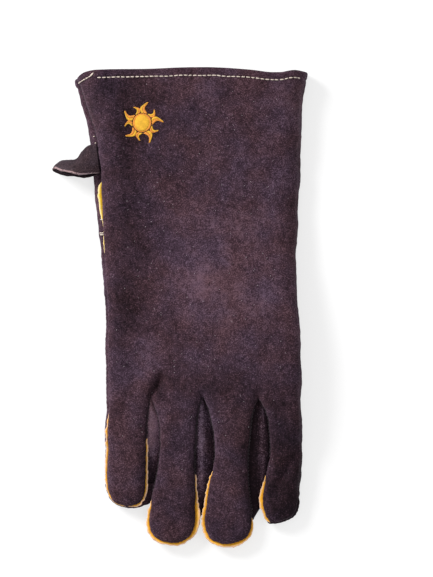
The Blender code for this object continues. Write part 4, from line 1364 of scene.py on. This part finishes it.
def hem_stitches(sheet, surface):
    """The row of stitches along the cuff's hem, on the back or on the palm side."""
    across = np.linspace(*HEM_ENDS[sheet], 240)
    left, right = hand_edges(sheet == "back", HEM_DOWN)
    x = left + (right - left) * across
    y = HAND_LENGTH - HEM_WAVE * read(CUFF_EDGE, sheet, across, "across") * HEM_WAVE_LEFT - HEM_WIDTH
    y += HEM_WANDER * waves(np.stack([x, 0 * x, 0 * x], axis=1), 0.018, 61)
    points, normals = surface.follow(np.stack([x, y], axis=1))
    return stitch_line(points, normals, STITCH_PITCH, HEM_STITCH, 0.0001)


# The hem's stitches round the corner at the side seam, as pixels of the photograph, their pitch and
# length, and how far either side of them the two threads of the back-tack lie
CORNER = [(93.6, 73.6), (91.8, 75.6), (88.6, 77.6), (84.8, 79.4), (81.0, 81.6), (78.0, 83.8)]
CORNER_PITCH = 0.0030
CORNER_STITCH = 0.0022
BACK_TACK = 0.00030


def corner_stitches():
    """The hem's left end: stitches down to the side seam, under a double back-tack."""
    path = np.array([photo_place(*place) for place in CORNER])
    fine = np.linspace(0, len(path) - 1, 40)
    path = np.stack([np.interp(fine, range(len(path)), path[:, k]) for k in range(2)], axis=1)
    found = stitch_line(*BACK_TOP.follow(path), CORNER_PITCH, CORNER_STITCH, 0.0002)
    for shift in (BACK_TACK, -BACK_TACK):
        (a, b), (na, nb) = BACK_TOP.follow(path[[0, 11]] + np.array([shift * 0.5, shift]))
        found.append((a + na * 0.0004, b + nb * 0.0003, (na + nb) / 2, 0.0005))
    return found


thread_piece("hem_stitches_back", hem_stitches("back", BACK_TOP), THREAD, CREAM_THREAD)
thread_piece("hem_stitches_palm", hem_stitches("palm", PALM_UNDER), THREAD, CREAM_THREAD, "palm_suede")
thread_piece("corner_stitches", corner_stitches(), THREAD, CREAM_THREAD)

# Dark stitches: their pitch and thickness in the fingers' seams and in the cuff's side, and where the
# fingers' seams show them, as the finger, its side, and shares of its length
SEAM_PITCH = 0.0026
SEAM_THREAD = 0.00032
SIDE_PITCH = 0.0034
SIDE_STITCH = 0.0020
SIDE_THREAD = 0.0003
DARK_SEAMS = (
    (0, "second", 0.02, 0.36),
    (1, "second", 0.02, 0.66),
    (2, "second", 0.05, 0.80),
    (1, "first", 0.05, 0.66),
    (2, "first", 0.05, 0.45),
    (3, "first", 0.05, 0.48),
)


def seam_stitches():
    """Dark stitches sunk in the seams between the back and the strips between the fingers."""
    found = []
    for number, side, low, high in DARK_SEAMS:
        length = FINGERS[number][1]
        own = [k for k, mark in enumerate(MARKS) if mark == (side, number)]
        ids = [OUTLINE_IDS[k] for k in own if low * length <= -OUTLINE[k][1] <= high * length]
        found += stitch_line(SKIN.points[ids], SKIN.normals[ids], SEAM_PITCH, SEAM_STITCH, 0.0004, 0.0003)
    return found


def side_stitches():
    """Dark stitches in the cuff's side seam, from the hem to the loop."""
    ids = side_stretch(0.03, 0.22)
    return stitch_line(SKIN.points[ids], SKIN.normals[ids], SIDE_PITCH, SIDE_STITCH, 0.0002, 0.0002)


thread_piece("seam_stitches", seam_stitches(), SEAM_THREAD, DARK_THREAD)
thread_piece("side_stitches", side_stitches(), SIDE_THREAD, DARK_THREAD)

# Pale stitches across the side seam: their share down the hand, and how far to the left of the seam
# their two ends lie in metres
TACKS = table(
    "down   far     near",
    (0.203, 0.0021, 0.0009),
    (0.224, 0.0021, 0.0009),
    (0.456, 0.0018, -0.0002),
    (0.4995, 0.0026, -0.0003),
    (0.5010, 0.0025, -0.0003),
)


def side_tacks():
    """Short pale stitches across the side seam, below the cuff and below the loop."""
    found = []
    seam = SKIN.points[[OUTLINE_IDS[k] for k in SIDE_SEAM]]
    for down, far, near in zip(*TACKS.values()):
        x, y, _ = seam[np.argmin(abs(seam[:, 1] - HAND_LENGTH * (1 - down)))]
        ends = [(PALM_SIDE if offset > 0 else BACK_TOP).follow([(x - offset, y)]) for offset in (far, near)]
        (a, na), (b, nb) = ((point[0], normal[0]) for point, normal in ends)
        found.append((a + na * 0.0003, b + nb * 0.0003, na + nb, 0.0004))
    return found


thread_piece("side_tacks", side_tacks(), THREAD, CREAM_THREAD)


# Emblem: a plain sun of satin stitches, its middle in pixels of the photograph

EMBLEM_MIDDLE = (142.3, 123.0)
EMBLEM_RADIUS = 0.0182
DISC_RADIUS = 0.0062
RAY_COUNT = 10
RAY_START = 1.22
SATIN_PITCH = 0.00036
SATIN_RADIUS = 0.00026
# Of the long rays and of the short ones: how far they reach, their half width, and their sway's sense
RAYS = ((1.0, 0.0024, 1), (0.86, 0.0018, -1))


def satin(pairs):
    """Satin stitches from side to side of a shape in plan, given as pairs of facing points."""
    pairs = np.array(pairs)
    along = path_lengths(pairs.mean(axis=1))
    found = []
    for s in np.linspace(0, along[-1], max(int(along[-1] / SATIN_PITCH), 2)):
        ends = np.array([[np.interp(s, along, pairs[:, e, k]) for k in range(2)] for e in range(2)])
        if np.linalg.norm(ends[0] - ends[1]) >= 0.0005:
            found.append(ends + photo_place(*EMBLEM_MIDDLE))
    return found


def sun_ray(number):
    """A wavy tapered ray as its left edge, middle and right edge."""
    angle = 2 * math.pi * number / RAY_COUNT + 0.12
    out = np.array([math.cos(angle), math.sin(angle)])
    across = np.array([-out[1], out[0]])
    reach, width, sense = RAYS[number % 2]
    root = DISC_RADIUS * RAY_START
    rows = []
    for t in np.linspace(0, 1, 24):
        sway = 0.0016 * math.sin(2 * math.pi * t * 0.85) * sense
        half = width * (1 - t) ** 0.65 * (0.7 + 0.3 * math.cos(3 * t))
        middle = out * (root + (EMBLEM_RADIUS * reach - root) * t) + across * sway
        rows.append([middle - across * half, middle, middle + across * half])
    return zip(*rows)


def sew_satin(name, threads, material, lift):
    """Satin stitches laid over the back as one piece. Longer ones arch higher."""
    stitches = []
    for ends in threads:
        (a, b), normals = BACK_TOP.follow(ends)
        normal = normals.mean(axis=0)
        arch = min(0.00015 + 0.16 * np.linalg.norm(b - a), 0.0011)
        stitches.append((a + normal * lift, b + normal * lift, normal, arch))
    thread_piece(name, stitches, SATIN_RADIUS, material)


def emblem():
    """A disc with wavy tapered rays, in two shades of gold thread laid over the suede."""
    chords = [(a * DISC_RADIUS, DISC_RADIUS * math.sqrt(1 - a * a)) for a in np.linspace(-1, 1, 40)]
    gold = satin([[[-half, y], [half, y]] for y, half in chords])
    amber = []
    for number in range(RAY_COUNT):
        left, middle, right = sun_ray(number)
        gold += satin(list(zip(middle, right)))
        amber += satin(list(zip(left, middle)))
    circle = [DISC_RADIUS * np.array([math.cos(t), math.sin(t)]) for t in np.linspace(0, 2 * math.pi, 70)]
    amber += satin([[out * 0.86, out * 1.12] for out in circle])
    sew_satin("emblem_gold", gold, GOLD_THREAD, 0.00030)
    sew_satin("emblem_amber", amber, AMBER_THREAD, 0.00036)


emblem()

# How many specks there are, how long they are and how thick
LINT_COUNT = 230
LINT_LENGTHS = (0.00025, 0.0008)
LINT_RADIUS = 0.00010


def lint():
    """Pale specks and short fibres caught in the nap of the back."""
    rng = np.random.default_rng(71)
    found = []
    for _ in range(LINT_COUNT):
        x = rng.uniform(-0.48, 0.46) * HAND_WIDTH
        y = rng.uniform(-0.25, 0.97) * HAND_LENGTH
        if y < 0 and rng.random() < 0.3:
            continue
        turn = rng.uniform(0, math.pi)
        size = rng.uniform(*LINT_LENGTHS)
        if BACK_TOP.tree.find((x, y, 0.0))[2] > 0.002:
            continue
        (a, b), (na, nb) = BACK_TOP.follow([(x, y), (x + size * math.cos(turn), y + size * math.sin(turn))])
        found.append((a + na * 0.0001, b + nb * 0.0001, na, 0.0001))
    thread_piece("lint", found, LINT_RADIUS, LINT_MATERIAL)


lint()

# Floor, lights and camera. The photograph's middle and height are in its pixels.

FLOOR_HALF = 3.0
FLOOR_HEIGHT = -0.0002
PHOTO_MIDDLE = (216.5, 288.5)
PHOTO_HEIGHT = 577
CAMERA_HEIGHT = 6.0
SENSOR = 36.0
MIDDLE_HEIGHT = 0.016
WHITE = (1.0, 1.0, 1.0, 1.0)
FLOOR_GREY = (0.40, 0.40, 0.40, 1.0)
FLOOR_GLOW = 0.66
WORLD_LIGHT = 0.50
# Each light's name, place, size in metres and power in watts
LIGHTS = (
    ("key", (-1.0, 0.8, 0.95), 0.6, 26.0),
    ("fill", (0.8, -0.3, 1.3), 1.2, 3.0),
)


def add_to_scene(name, data, place):
    """A new object of the scene at a place."""
    made = bpy.data.objects.new(name, data)
    made.location = place
    bpy.context.scene.collection.objects.link(made)
    return made


def stage():
    """A plain pale floor, soft lights and the camera straight above, as the photograph looks."""
    mesh = bpy.data.meshes.new("floor")
    corners = [(x * FLOOR_HALF, y * FLOOR_HALF, 0.0) for x, y in ((-1, -1), (1, -1), (1, 1), (-1, 1))]
    mesh.from_pydata(corners, [], [[0, 1, 2, 3]])
    glow = {"Emission_Color": WHITE, "Emission_Strength": FLOOR_GLOW}
    mesh.materials.append(Material("floor_white").finish(0.9, 0.1, Base_Color=FLOOR_GREY, **glow))
    floor = add_to_scene("floor", mesh, (0.0, 0.0, FLOOR_HEIGHT))
    world = bpy.data.worlds.new("studio")
    world.use_nodes = True
    background = world.node_tree.nodes["Background"].inputs
    background["Color"].default_value = WHITE
    background["Strength"].default_value = WORLD_LIGHT
    bpy.context.scene.world = world
    for name, place, size, power in LIGHTS:
        light = bpy.data.lights.new(name, "AREA")
        light.energy = power
        light.size = size
        lamp = add_to_scene(name, light, place)
        lamp.rotation_euler = (-Vector(place)).to_track_quat("-Z", "Y").to_euler()
    camera = bpy.data.cameras.new("camera")
    camera.sensor_width = SENSOR
    camera.lens = SENSOR * (CAMERA_HEIGHT - MIDDLE_HEIGHT) / (PHOTO_HEIGHT * PIXEL)
    seen = photo_place(*PHOTO_MIDDLE) + SHIFT[:2]
    bpy.context.scene.camera = add_to_scene("camera", camera, (*seen, CAMERA_HEIGHT))
    bpy.context.scene.view_settings.view_transform = "Standard"


stage()
